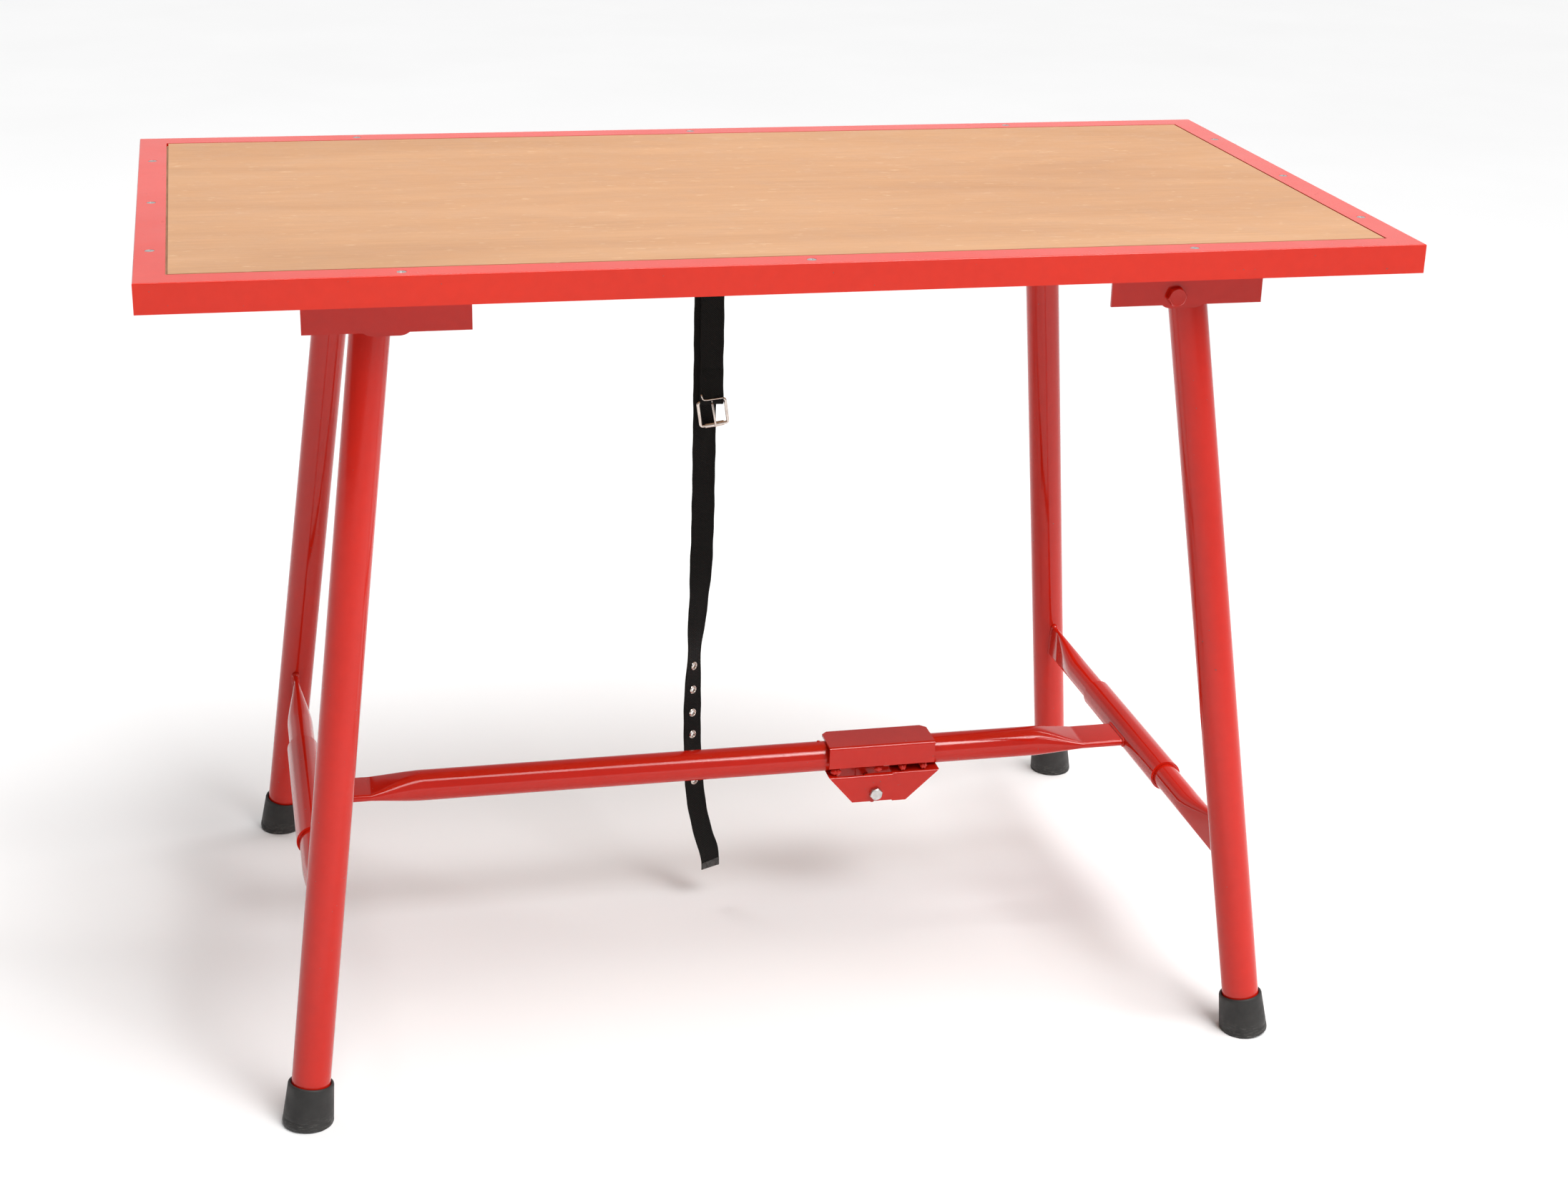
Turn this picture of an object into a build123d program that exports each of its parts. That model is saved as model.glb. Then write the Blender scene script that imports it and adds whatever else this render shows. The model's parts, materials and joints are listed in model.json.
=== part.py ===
from build123d import *
import math
import os

# Folding work table: a board in a steel rim, on two pairs of splayed tube legs.
# Millimetres. Origin on the floor under the middle of the top, +X along the long
# side, +Y from front to rear, +Z up.

os.makedirs("parts", exist_ok=True)

# Top
TOP_LENGTH = 1200.0
TOP_WIDTH = 625.0
TOP_HEIGHT = 840.0
RIM_FLANGE = 28.0
RIM_SKIRT = 28.0
RIM_SHEET = 3.0
RIM_EDGE_RADIUS = 1.2
CORE_THICKNESS = 18.0
CORE_GAP = 0.5
PANEL_GAP = 2.0

# Legs, named by where the tube's axis meets the floor and where the tube ends
TUBE_RADIUS = 19.0
TUBE_WALL = 2.0
FOOT_X = 488.7
FOOT_Y = 326.2
LEG_TOP_X = 391.5
LEG_TOP_Y = 225.9
LEG_TOP_Z = 801.0

# Rubber feet
CAP_HEIGHT = 44.0
CAP_TOP_RADIUS = 22.4
CAP_BOTTOM_RADIUS = 25.0
CAP_SOLE = 9.0
CAP_DROP = 2.5
CAP_BORE_RADIUS = TUBE_RADIUS + 0.05

# Leg hinges
HINGE_X = 370.0
HINGE_Z = 784.0
HINGE_BOLT_RADIUS = 5.0
HINGE_HOLE_RADIUS = 5.3
BRACKET_INNER_X = 305.0
BRACKET_OUTER_X = 458.0
BRACKET_FACE_Y = 262.0
BRACKET_SHEET = 3.0
BRACKET_BOTTOM_Z = 775.0
BRACKET_FLANGE = 26.0
BRACKET_BEND = 2.5
BRACKET_SCREW_X = (325.0, 438.0)
BRACKET_SCREW_Y = 277.0
EAR_OUTER_Y = 252.0
EAR_SHEET = 4.0
EAR_RADIUS = 15.0
EAR_WELD = (24.0, 26.0, 5.0)
SPACER_RADIUS = 11.0
HINGE_SLACK = 0.3
HINGE_HEAD_FLATS = 17.0
HINGE_HEAD_THICKNESS = 6.4
BLIND_HOLE_SKIN = 1.0
NUT_FLATS = 16.0
NUT_THICKNESS = 6.3
BOLT_PAST_NUT = 1.5

# Screws
SCREW_HEAD_RADIUS = 4.4
SCREW_SHANK_RADIUS = 2.2
SCREW_PILOT_RADIUS = 2.3
COUNTERSINK_MARGIN = 0.4
RIM_SCREW_TIP = 18.0
RIM_SCREW_NECK = 2.6
RIM_SCREW_HEAD_BASE = 1.4
RIM_SCREW_HEAD_HEIGHT = 2.4
RIM_PILOT_DEPTH = 15.2
PAN_HEAD_HEIGHT = 2.6
PAN_HEAD_ROUNDING = 1.6
PAN_SCREW_REACH = 15.0
UNDER_PILOT_DEPTH = 13.2

# Crossbars and the stretcher between them
BAR_Z = 197.0
BAR_WALL = 2.0
CROSSBAR_RADIUS = 14.0
CROSSBAR_ROUND_HALF = 178.0
CROSSBAR_FLAT_HALF = 258.0
CROSSBAR_FLAT_HEIGHT = 40.6
CROSSBAR_FLAT_THICKNESS = 6.0
CROSSBAR_END_HALF = 298.0
STRETCHER_RADIUS = 16.85
STRETCHER_ROUND_END = 343.0
STRETCHER_FLAT_START = 400.0
STRETCHER_FLAT_HEIGHT = 50.0
STRETCHER_FLAT_THICKNESS = 8.0
STRETCHER_TAB_SETBACK = 8.0
FLAT_ROUNDING = 0.45
SLEEVE_RADIUS = 16.85
SLEEVE_BORE_RADIUS = 14.25
SLEEVE_HALF = 114.0

# Stretcher joint
LEFT_TUBE_END = 120.0
RIGHT_TUBE_START = 170.0
COVER_LEFT = 104.0
COVER_RIGHT = 225.0
COVER_HALF_WIDTH = 24.0
COVER_BOTTOM_Z = 191.0
COVER_CORNER = 9.0
COVER_CLEARANCE = 0.15
COVER_BEND = 3.5
PLATE = 2.5
CHANNEL_TOP_Z = BAR_Z - STRETCHER_RADIUS
CHANNEL_HALF_WIDTH = 24.0
CHANNEL_BEND = 3.0
OUTER_WEB_LEFT = 104.0
OUTER_WEB_RIGHT = 114.0
OUTER_SLANT_X = 131.5
OUTER_RIGHT = 178.0
OUTER_BOTTOM_Z = 148.0
INNER_HALF_WIDTH = 21.2
INNER_BEND = 2.0
INNER_LEFT = 146.0
INNER_CORNER_X = 154.0
INNER_CORNER_Z = 153.5
INNER_WEB_LEFT = 178.0
INNER_SLANT_X = 194.0
INNER_RIGHT = 232.0
INNER_BOTTOM_Z = 145.5
JOINT_BOLT_X = 158.0
JOINT_BOLT_Z = 158.0
JOINT_BOLT_RADIUS = 4.0
JOINT_BOLT_FLATS = 13.0
JOINT_HEAD_THICKNESS = 5.3
JOINT_NUT_THICKNESS = 6.5
JOINT_BOLT_TAIL = 8.5
NOTCH_RADIUS = 4.7
NOTCH_STEEP = 72.0
NOTCH_SHALLOW = 33.0
NOTCH_REACH = 34.0

# Holding strap under the top
STRAP_WIDTH = 25.0
STRAP_SHEET = 1.6
STRAP_Y = 45.0
SHORT_STRAP_Y = 40.0
SHORT_STRAP_X = -23.0
STRAP_ROUTE = [
    (-29.5, 818.5),
    (-29.0, 560.0),
    (-31.5, 400.0),
    (-37.6, 300.0),
    (-38.4, 210.0),
    (-31.5, 118.0),
    (-15.5, 45.0),
]
EYELET_Z = [297.0, 268.5, 240.5, 214.0, 186.0, 156.5]
EYELET_OUTER_RADIUS = 4.8
EYELET_HOLE_RADIUS = 2.8
EYELET_BARREL = 0.85
EYELET_FLANGE = 0.6
BUCKLE_WIDTH = 33.0
BUCKLE_HEIGHT = 30.0
BUCKLE_WIRE = 1.7
BUCKLE_CORNER = 2.1
BUCKLE_TOP_Z = 604.0
ROLLER_WALL = 0.9
ROLLER_HALF = 10.5
PRONG_LENGTH = 30.0
PRONG_RADIUS = 1.2
PRONG_HALF_WIDTH = 1.5
PRONG_OFFSET = 4.6
STRAP_SLOT_HALF = 2.6
STRAP_FOLD_HEIGHT = 14.0

# Plate that holds both straps under the board
ANCHOR_X = -27.0
ANCHOR_Y = 42.5
ANCHOR_SCREW_REACH = 21.6
ANCHOR_DEPTH = 5.6
ANCHOR_WIDTH = 16.0
ANCHOR_MARGIN = 6.0
ANCHOR_CORNER = 3.0
ANCHOR_SLOT = (34.0, 9.0)

# Derived
SKIRT_BOTTOM_Z = TOP_HEIGHT - RIM_SKIRT
CORE_TOP_Z = TOP_HEIGHT - RIM_SHEET
CORE_BOTTOM_Z = CORE_TOP_Z - CORE_THICKNESS
RIM_SCREW_Y = TOP_WIDTH / 2 - RIM_FLANGE / 2
RIM_SCREW_X = TOP_LENGTH / 2 - RIM_FLANGE / 2
LONG_SIDE_SCREWS = [(x, y) for y in (-RIM_SCREW_Y, RIM_SCREW_Y) for x in (-370.0, 0.0, 370.0)]
SHORT_SIDE_SCREWS = [(x, y) for x in (-RIM_SCREW_X, RIM_SCREW_X) for y in (-195.0, 0.0, 195.0)]
RIM_SCREWS = LONG_SIDE_SCREWS + SHORT_SIDE_SCREWS
BAR_X = FOOT_X + (LEG_TOP_X - FOOT_X) * BAR_Z / LEG_TOP_Z
SIDES = {"left": -1, "right": 1}
ENDS = {"front": -1, "rear": 1}


def save(name, piece):
    piece.label = name
    export_step(piece, f"parts/{name}.step")


def leg_plane(side, end):
    """Plane at the foot of a leg, its normal up the tube."""
    foot = Vector(side * FOOT_X, end * FOOT_Y, 0)
    top = Vector(side * LEG_TOP_X, end * LEG_TOP_Y, LEG_TOP_Z)
    return Plane(origin=foot, x_dir=(1, 0, 0), z_dir=top - foot)


def leg_length():
    rise = Vector(FOOT_X - LEG_TOP_X, FOOT_Y - LEG_TOP_Y, LEG_TOP_Z)
    return rise.length


def hexagon_radius(flats):
    """Corner radius of a hexagon of this size across its flats."""
    return flats / math.sqrt(3)


def slab_along_y(end, near, far):
    """Sketch plane facing outward at |y| = near, and the depth to |y| = far."""
    plane = Plane(origin=(0, end * near, 0), x_dir=(1, 0, 0), z_dir=(0, end, 0))
    return plane, far - near


def on_plane(plane, x, z):
    """Local coordinates of a point given by its x and z."""
    local = plane.to_local_coords(Vector(x, plane.origin.Y, z))
    return (local.X, local.Y)


def bracket_screw_points():
    return [
        (side * x, end * BRACKET_SCREW_Y)
        for side in SIDES.values()
        for end in ENDS.values()
        for x in BRACKET_SCREW_X
    ]


# ---------------------------------------------------------------- top

def rim_rail(name, corners, screws):
    """One mitred length of angle: a flange on top and a skirt outside."""
    inner_x = TOP_LENGTH - 2 * RIM_SHEET
    inner_y = TOP_WIDTH - 2 * RIM_SHEET
    window_x = TOP_LENGTH - 2 * RIM_FLANGE
    window_y = TOP_WIDTH - 2 * RIM_FLANGE
    with BuildPart() as rail:
        with BuildSketch(Plane.XY.offset(SKIRT_BOTTOM_Z)):
            Rectangle(TOP_LENGTH, TOP_WIDTH)
        extrude(amount=RIM_SKIRT)
        outer = rail.edges().filter_by(lambda e: e.center().Z > TOP_HEIGHT - 0.1)
        fillet(outer, RIM_EDGE_RADIUS)
        with BuildSketch(Plane.XY.offset(SKIRT_BOTTOM_Z)):
            Rectangle(inner_x, inner_y)
        extrude(amount=RIM_SKIRT - RIM_SHEET, mode=Mode.SUBTRACT)
        with BuildSketch(Plane.XY.offset(SKIRT_BOTTOM_Z)):
            Rectangle(window_x, window_y)
        extrude(amount=RIM_SKIRT, mode=Mode.SUBTRACT)
        with BuildSketch(Plane.XY.offset(SKIRT_BOTTOM_Z)):
            with BuildLine():
                Polyline(corners, close=True)
            make_face()
        extrude(amount=RIM_SKIRT, mode=Mode.INTERSECT)
        with Locations([(x, y, TOP_HEIGHT) for x, y in screws]):
            CounterSinkHole(
                SCREW_PILOT_RADIUS,
                SCREW_HEAD_RADIUS + COUNTERSINK_MARGIN,
                depth=RIM_SHEET,
                counter_sink_angle=90,
            )
    save(name, rail.part)


half_x = TOP_LENGTH / 2
half_y = TOP_WIDTH / 2
mitre_x = half_x - half_y
rim_rail(
    "rim_front",
    [(-half_x, -half_y), (half_x, -half_y), (mitre_x, 0), (-mitre_x, 0)],
    [p for p in LONG_SIDE_SCREWS if p[1] < 0],
)
rim_rail(
    "rim_rear",
    [(-half_x, half_y), (half_x, half_y), (mitre_x, 0), (-mitre_x, 0)],
    [p for p in LONG_SIDE_SCREWS if p[1] > 0],
)
rim_rail(
    "rim_left",
    [(-half_x, -half_y), (-mitre_x, 0), (-half_x, half_y)],
    [p for p in SHORT_SIDE_SCREWS if p[0] < 0],
)
rim_rail(
    "rim_right",
    [(half_x, -half_y), (mitre_x, 0), (half_x, half_y)],
    [p for p in SHORT_SIDE_SCREWS if p[0] > 0],
)

# Plywood core under the flange, with pilot holes for every screw
ANCHOR_SCREWS = [(ANCHOR_X + offset, ANCHOR_Y) for offset in (-ANCHOR_SCREW_REACH, ANCHOR_SCREW_REACH)]
with BuildPart() as core_board:
    with BuildSketch(Plane.XY.offset(CORE_BOTTOM_Z)):
        Rectangle(
            TOP_LENGTH - 2 * (RIM_SHEET + CORE_GAP),
            TOP_WIDTH - 2 * (RIM_SHEET + CORE_GAP),
        )
    extrude(amount=CORE_THICKNESS)
    with Locations([(x, y, CORE_TOP_Z) for x, y in RIM_SCREWS]):
        Hole(SCREW_PILOT_RADIUS, depth=RIM_PILOT_DEPTH)
    under_holes = bracket_screw_points() + ANCHOR_SCREWS
    with BuildSketch(Plane.XY.offset(CORE_BOTTOM_Z)):
        with Locations(under_holes):
            Circle(SCREW_PILOT_RADIUS)
    extrude(amount=UNDER_PILOT_DEPTH, mode=Mode.SUBTRACT)
save("core_board", core_board.part)

# Beech-faced work panel, flush with the rim inside a narrow gap
with BuildPart() as work_panel:
    with BuildSketch(Plane.XY.offset(CORE_TOP_Z)):
        Rectangle(
            TOP_LENGTH - 2 * (RIM_FLANGE + PANEL_GAP),
            TOP_WIDTH - 2 * (RIM_FLANGE + PANEL_GAP),
        )
    extrude(amount=RIM_SHEET)
save("work_panel", work_panel.part)


def rim_screw_set():
    """Countersunk screws let into the rim flange, heads just below its face."""
    with BuildPart() as screws:
        with BuildSketch(Plane.XY.offset(TOP_HEIGHT - RIM_SCREW_TIP)):
            with Locations(RIM_SCREWS):
                Circle(SCREW_SHANK_RADIUS)
        extrude(amount=RIM_SCREW_TIP - RIM_SCREW_NECK)
        with Locations([(x, y, TOP_HEIGHT - RIM_SCREW_HEAD_BASE) for x, y in RIM_SCREWS]):
            Cone(SCREW_SHANK_RADIUS, SCREW_HEAD_RADIUS, RIM_SCREW_HEAD_HEIGHT)
    save("rim_screws", screws.part)


rim_screw_set()


# ---------------------------------------------------------------- leg brackets

def leg_bracket(name, side, end):
    """Angle under the board, its plate bored through on the right and blind on the left."""
    face = BRACKET_FACE_Y
    profile = [
        (face - BRACKET_SHEET, BRACKET_BOTTOM_Z),
        (face, BRACKET_BOTTOM_Z),
        (face, CORE_BOTTOM_Z - BRACKET_SHEET),
        (face + BRACKET_FLANGE, CORE_BOTTOM_Z - BRACKET_SHEET),
        (face + BRACKET_FLANGE, CORE_BOTTOM_Z),
        (face - BRACKET_SHEET, CORE_BOTTOM_Z),
    ]
    length = BRACKET_OUTER_X - BRACKET_INNER_X
    start = BRACKET_INNER_X if side > 0 else -BRACKET_OUTER_X
    with BuildPart() as bracket:
        with BuildSketch(Plane.YZ.offset(start)):
            with BuildLine():
                Polyline([(end * y, z) for y, z in profile], close=True)
            make_face()
        extrude(amount=length)
        corner = bracket.edges().filter_by(Axis.X).sort_by(
            lambda e: abs(abs(e.center().Y) - face) + abs(e.center().Z - CORE_BOTTOM_Z + BRACKET_SHEET)
        )[0]
        fillet(corner, BRACKET_BEND)
        hole_end = face + 1.0 if side > 0 else face - BLIND_HOLE_SKIN
        plane, depth = slab_along_y(end, face - BRACKET_SHEET - 1.0, hole_end)
        with BuildSketch(plane):
            with Locations(on_plane(plane, side * HINGE_X, HINGE_Z)):
                Circle(HINGE_BOLT_RADIUS + 0.1)
        extrude(amount=depth, mode=Mode.SUBTRACT)
        with BuildSketch(Plane.XY.offset(CORE_BOTTOM_Z - BRACKET_SHEET - 1.0)):
            with Locations([(side * x, end * BRACKET_SCREW_Y) for x in BRACKET_SCREW_X]):
                Circle(SCREW_PILOT_RADIUS)
        extrude(amount=BRACKET_SHEET + 2.0, mode=Mode.SUBTRACT)
    save(name, bracket.part)


for side_name, side in SIDES.items():
    for end_name, end in ENDS.items():
        leg_bracket(f"{side_name}_{end_name}_bracket", side, end)


def pan_screws(name, points, seat_z):
    """Wood screws up into the board, round heads under the plate they hold."""
    with BuildPart() as screws:
        with BuildSketch(Plane.XY.offset(seat_z)):
            with Locations(points):
                Circle(SCREW_SHANK_RADIUS)
        extrude(amount=PAN_SCREW_REACH)
        with BuildSketch(Plane.XY.offset(seat_z - PAN_HEAD_HEIGHT)):
            with Locations(points):
                Circle(SCREW_HEAD_RADIUS)
        extrude(amount=PAN_HEAD_HEIGHT)
        rims = screws.edges().filter_by(lambda e: abs(e.center().Z - seat_z + PAN_HEAD_HEIGHT) < 0.01)
        fillet(rims, PAN_HEAD_ROUNDING)
    save(name, screws.part)


pan_screws("bracket_screws", bracket_screw_points(), CORE_BOTTOM_Z - BRACKET_SHEET)

EAR_INNER_Y = EAR_OUTER_Y - EAR_SHEET
SPACER_INNER_Y = EAR_OUTER_Y + HINGE_SLACK
SPACER_OUTER_Y = BRACKET_FACE_Y - BRACKET_SHEET
NUT_OUTER_Y = EAR_INNER_Y - HINGE_SLACK
NUT_INNER_Y = NUT_OUTER_Y - NUT_THICKNESS


def hinge_hardware(side_name, side):
    """Bolts, spacers and nuts of one pair of legs, one solid per end."""
    spread = {"pivot_bolts": [], "pivot_spacers": [], "pivot_nuts": []}
    outer_y = BRACKET_FACE_Y if side > 0 else BRACKET_FACE_Y - BLIND_HOLE_SKIN - 0.1
    for end in ENDS.values():
        with BuildPart() as bolt:
            plane, depth = slab_along_y(end, NUT_INNER_Y - BOLT_PAST_NUT, outer_y)
            with BuildSketch(plane):
                with Locations(on_plane(plane, side * HINGE_X, HINGE_Z)):
                    Circle(HINGE_BOLT_RADIUS)
            extrude(amount=depth)
            if side > 0:
                plane, depth = slab_along_y(end, BRACKET_FACE_Y, BRACKET_FACE_Y + HINGE_HEAD_THICKNESS)
                with BuildSketch(plane):
                    with Locations(on_plane(plane, side * HINGE_X, HINGE_Z)):
                        RegularPolygon(hexagon_radius(HINGE_HEAD_FLATS), 6)
                extrude(amount=depth)
        spread["pivot_bolts"].append(bolt.part)
        with BuildPart() as spacer:
            plane, depth = slab_along_y(end, SPACER_INNER_Y, SPACER_OUTER_Y)
            with BuildSketch(plane):
                with Locations(on_plane(plane, side * HINGE_X, HINGE_Z)):
                    Circle(SPACER_RADIUS)
                    Circle(HINGE_BOLT_RADIUS + 0.05, mode=Mode.SUBTRACT)
            extrude(amount=depth)
        spread["pivot_spacers"].append(spacer.part)
        with BuildPart() as nut:
            plane, depth = slab_along_y(end, NUT_INNER_Y, NUT_OUTER_Y)
            with BuildSketch(plane):
                with Locations(on_plane(plane, side * HINGE_X, HINGE_Z)):
                    RegularPolygon(hexagon_radius(NUT_FLATS), 6, rotation=30)
                    Circle(HINGE_BOLT_RADIUS + 0.05, mode=Mode.SUBTRACT)
            extrude(amount=depth)
        spread["pivot_nuts"].append(nut.part)
    for kind, solids in spread.items():
        save(f"{side_name}_{kind}", Compound(children=solids))


for side_name, side in SIDES.items():
    hinge_hardware(side_name, side)


# ---------------------------------------------------------------- legs

def leg_tube(name, side, end):
    plane = leg_plane(side, end)
    with BuildPart() as tube:
        with BuildSketch(plane.offset(CAP_SOLE - CAP_DROP)):
            Circle(TUBE_RADIUS)
            Circle(TUBE_RADIUS - TUBE_WALL, mode=Mode.SUBTRACT)
        extrude(amount=leg_length() - CAP_SOLE + CAP_DROP)
    save(name, tube.part)


def rubber_foot(name, side, end):
    """Slightly flared cup on the tube's end, its sole trimmed level with the floor."""
    plane = leg_plane(side, end)
    low = -CAP_DROP
    with BuildPart() as foot:
        with BuildSketch(plane.offset(low)):
            Circle(CAP_BOTTOM_RADIUS)
        with BuildSketch(plane.offset(low + CAP_HEIGHT)):
            Circle(CAP_TOP_RADIUS)
        loft()
        lip = foot.edges().group_by(Axis.Z)[-1]
        fillet(lip, 1.0)
        with BuildSketch(plane.offset(low + CAP_SOLE)):
            Circle(CAP_BORE_RADIUS)
        extrude(amount=CAP_HEIGHT, mode=Mode.SUBTRACT)
        split(bisect_by=Plane.XY, keep=Keep.TOP)
    save(name, foot.part)


def leg_ear(name, side, end):
    """Plate welded to the outside of the tube, carrying the hinge bolt inboard of it."""
    tube = leg_plane(side, end)
    axis_x = side * (FOOT_X + (LEG_TOP_X - FOOT_X) * HINGE_Z / LEG_TOP_Z)
    plane, depth = slab_along_y(end, EAR_INNER_Y, EAR_OUTER_Y)
    centre = on_plane(plane, side * HINGE_X, HINGE_Z)
    root = on_plane(plane, axis_x, HINGE_Z)
    with BuildPart() as ear:
        with BuildSketch(plane):
            with Locations(centre, root):
                Circle(EAR_RADIUS)
            with Locations(((centre[0] + root[0]) / 2, centre[1])):
                Rectangle(abs(root[0] - centre[0]), 2 * EAR_RADIUS)
            with Locations(centre):
                Circle(HINGE_HOLE_RADIUS, mode=Mode.SUBTRACT)
        extrude(amount=depth)
        weld_width, weld_height, weld_reach = EAR_WELD
        weld_plane, weld_depth = slab_along_y(end, EAR_INNER_Y - weld_reach, EAR_INNER_Y)
        with BuildSketch(weld_plane):
            with Locations(on_plane(weld_plane, axis_x, HINGE_Z)):
                Rectangle(weld_width, weld_height)
        extrude(amount=weld_depth)
        with BuildSketch(tube):
            Circle(TUBE_RADIUS + 0.02)
        extrude(amount=leg_length() + 20.0, mode=Mode.SUBTRACT)
    save(name, ear.part)


def crossbar(name, side):
    """Tube between a pair of legs, its ends pressed flat and coped to them."""
    plane = Plane(origin=(side * BAR_X, 0, BAR_Z), x_dir=(1, 0, 0), z_dir=(0, 1, 0))
    rounding = CROSSBAR_FLAT_THICKNESS * FLAT_ROUNDING
    with BuildPart() as bar:
        with BuildSketch(plane):
            Circle(CROSSBAR_RADIUS)
            Circle(CROSSBAR_RADIUS - BAR_WALL, mode=Mode.SUBTRACT)
        extrude(amount=CROSSBAR_ROUND_HALF, both=True)
        for end in ENDS.values():
            with BuildSketch(plane.offset(end * CROSSBAR_ROUND_HALF)):
                Circle(CROSSBAR_RADIUS)
            with BuildSketch(plane.offset(end * CROSSBAR_FLAT_HALF)):
                RectangleRounded(CROSSBAR_FLAT_THICKNESS, CROSSBAR_FLAT_HEIGHT, rounding)
            loft()
            with BuildSketch(plane.offset(end * CROSSBAR_FLAT_HALF)):
                RectangleRounded(CROSSBAR_FLAT_THICKNESS, CROSSBAR_FLAT_HEIGHT, rounding)
            extrude(amount=end * (CROSSBAR_END_HALF - CROSSBAR_FLAT_HALF))
            with BuildSketch(leg_plane(side, end)):
                Circle(TUBE_RADIUS + 0.02)
            extrude(amount=leg_length(), mode=Mode.SUBTRACT)
        solids = bar.solids().sort_by(SortBy.VOLUME)
    save(name, solids[-1])


for side_name, side in SIDES.items():
    for end_name, end in ENDS.items():
        leg_tube(f"{side_name}_{end_name}_leg", side, end)
        rubber_foot(f"{side_name}_{end_name}_foot", side, end)
        leg_ear(f"{side_name}_{end_name}_ear", side, end)
    crossbar(f"{side_name}_crossbar", side)


# ---------------------------------------------------------------- stretcher

def sleeve(name, side):
    """Pipe turning on the middle of a crossbar."""
    plane = Plane(origin=(side * BAR_X, 0, BAR_Z), x_dir=(1, 0, 0), z_dir=(0, 1, 0))
    with BuildPart() as pipe:
        with BuildSketch(plane):
            Circle(SLEEVE_RADIUS)
            Circle(SLEEVE_BORE_RADIUS, mode=Mode.SUBTRACT)
        extrude(amount=SLEEVE_HALF, both=True)
    save(name, pipe.part)


def stretcher_half(name, side, inner_end):
    """Half of the stretcher, its outer end pressed flat and coped to the sleeve."""
    plane = Plane(origin=(0, 0, BAR_Z), x_dir=(0, 0, 1), z_dir=(1, 0, 0))
    rounding = STRETCHER_FLAT_THICKNESS * FLAT_ROUNDING
    with BuildPart() as tube:
        with BuildSketch(plane.offset(inner_end)):
            Circle(STRETCHER_RADIUS)
            Circle(STRETCHER_RADIUS - BAR_WALL, mode=Mode.SUBTRACT)
        extrude(amount=side * STRETCHER_ROUND_END - inner_end)
        with BuildSketch(plane.offset(side * STRETCHER_ROUND_END)):
            Circle(STRETCHER_RADIUS)
        with BuildSketch(plane.offset(side * STRETCHER_FLAT_START)):
            RectangleRounded(STRETCHER_FLAT_THICKNESS, STRETCHER_FLAT_HEIGHT, rounding)
        loft()
        with BuildSketch(plane.offset(side * STRETCHER_FLAT_START)):
            RectangleRounded(STRETCHER_FLAT_THICKNESS, STRETCHER_FLAT_HEIGHT, rounding)
        extrude(amount=side * (BAR_X - STRETCHER_TAB_SETBACK - STRETCHER_FLAT_START))
        with BuildSketch(Plane(origin=(side * BAR_X, 0, BAR_Z), x_dir=(1, 0, 0), z_dir=(0, 1, 0))):
            Circle(SLEEVE_RADIUS + 0.02)
        extrude(amount=SLEEVE_HALF, both=True, mode=Mode.SUBTRACT)
        solids = tube.solids().sort_by(SortBy.VOLUME)
    save(name, solids[-1])


sleeve("left_sleeve", -1)
sleeve("right_sleeve", 1)
stretcher_half("left_stretcher", -1, LEFT_TUBE_END)
stretcher_half("right_stretcher", 1, RIGHT_TUBE_START)

# Inverted channel over both tube ends, welded to the right one
with BuildPart() as hinge_cover:
    cover_top = BAR_Z + STRETCHER_RADIUS + COVER_CLEARANCE + PLATE
    with BuildSketch(Plane.YZ.offset(COVER_LEFT)):
        with Locations((0, (cover_top + COVER_BOTTOM_Z) / 2)):
            Rectangle(2 * COVER_HALF_WIDTH, cover_top - COVER_BOTTOM_Z)
    extrude(amount=COVER_RIGHT - COVER_LEFT)
    fillet(
        hinge_cover.edges().filter_by(Axis.X).filter_by(lambda e: e.center().Z > cover_top - 0.1),
        COVER_BEND,
    )
    with BuildSketch(Plane.YZ.offset(COVER_LEFT)):
        with Locations((0, (cover_top - PLATE + COVER_BOTTOM_Z) / 2)):
            Rectangle(2 * (COVER_HALF_WIDTH - PLATE), cover_top - PLATE - COVER_BOTTOM_Z)
    extrude(amount=COVER_RIGHT - COVER_LEFT, mode=Mode.SUBTRACT)
    with BuildSketch(Plane.XY.offset(COVER_BOTTOM_Z - 1)):
        for corner_x, inward in ((COVER_LEFT, 1), (COVER_RIGHT, -1)):
            with BuildLine():
                Polyline(
                    [
                        (corner_x, COVER_HALF_WIDTH),
                        (corner_x + inward * COVER_CORNER, COVER_HALF_WIDTH),
                        (corner_x, COVER_HALF_WIDTH - COVER_CORNER),
                    ],
                    close=True,
                )
            make_face()
    extrude(amount=cover_top - COVER_BOTTOM_Z + 2, mode=Mode.SUBTRACT)
save("hinge_cover", hinge_cover.part)

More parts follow.
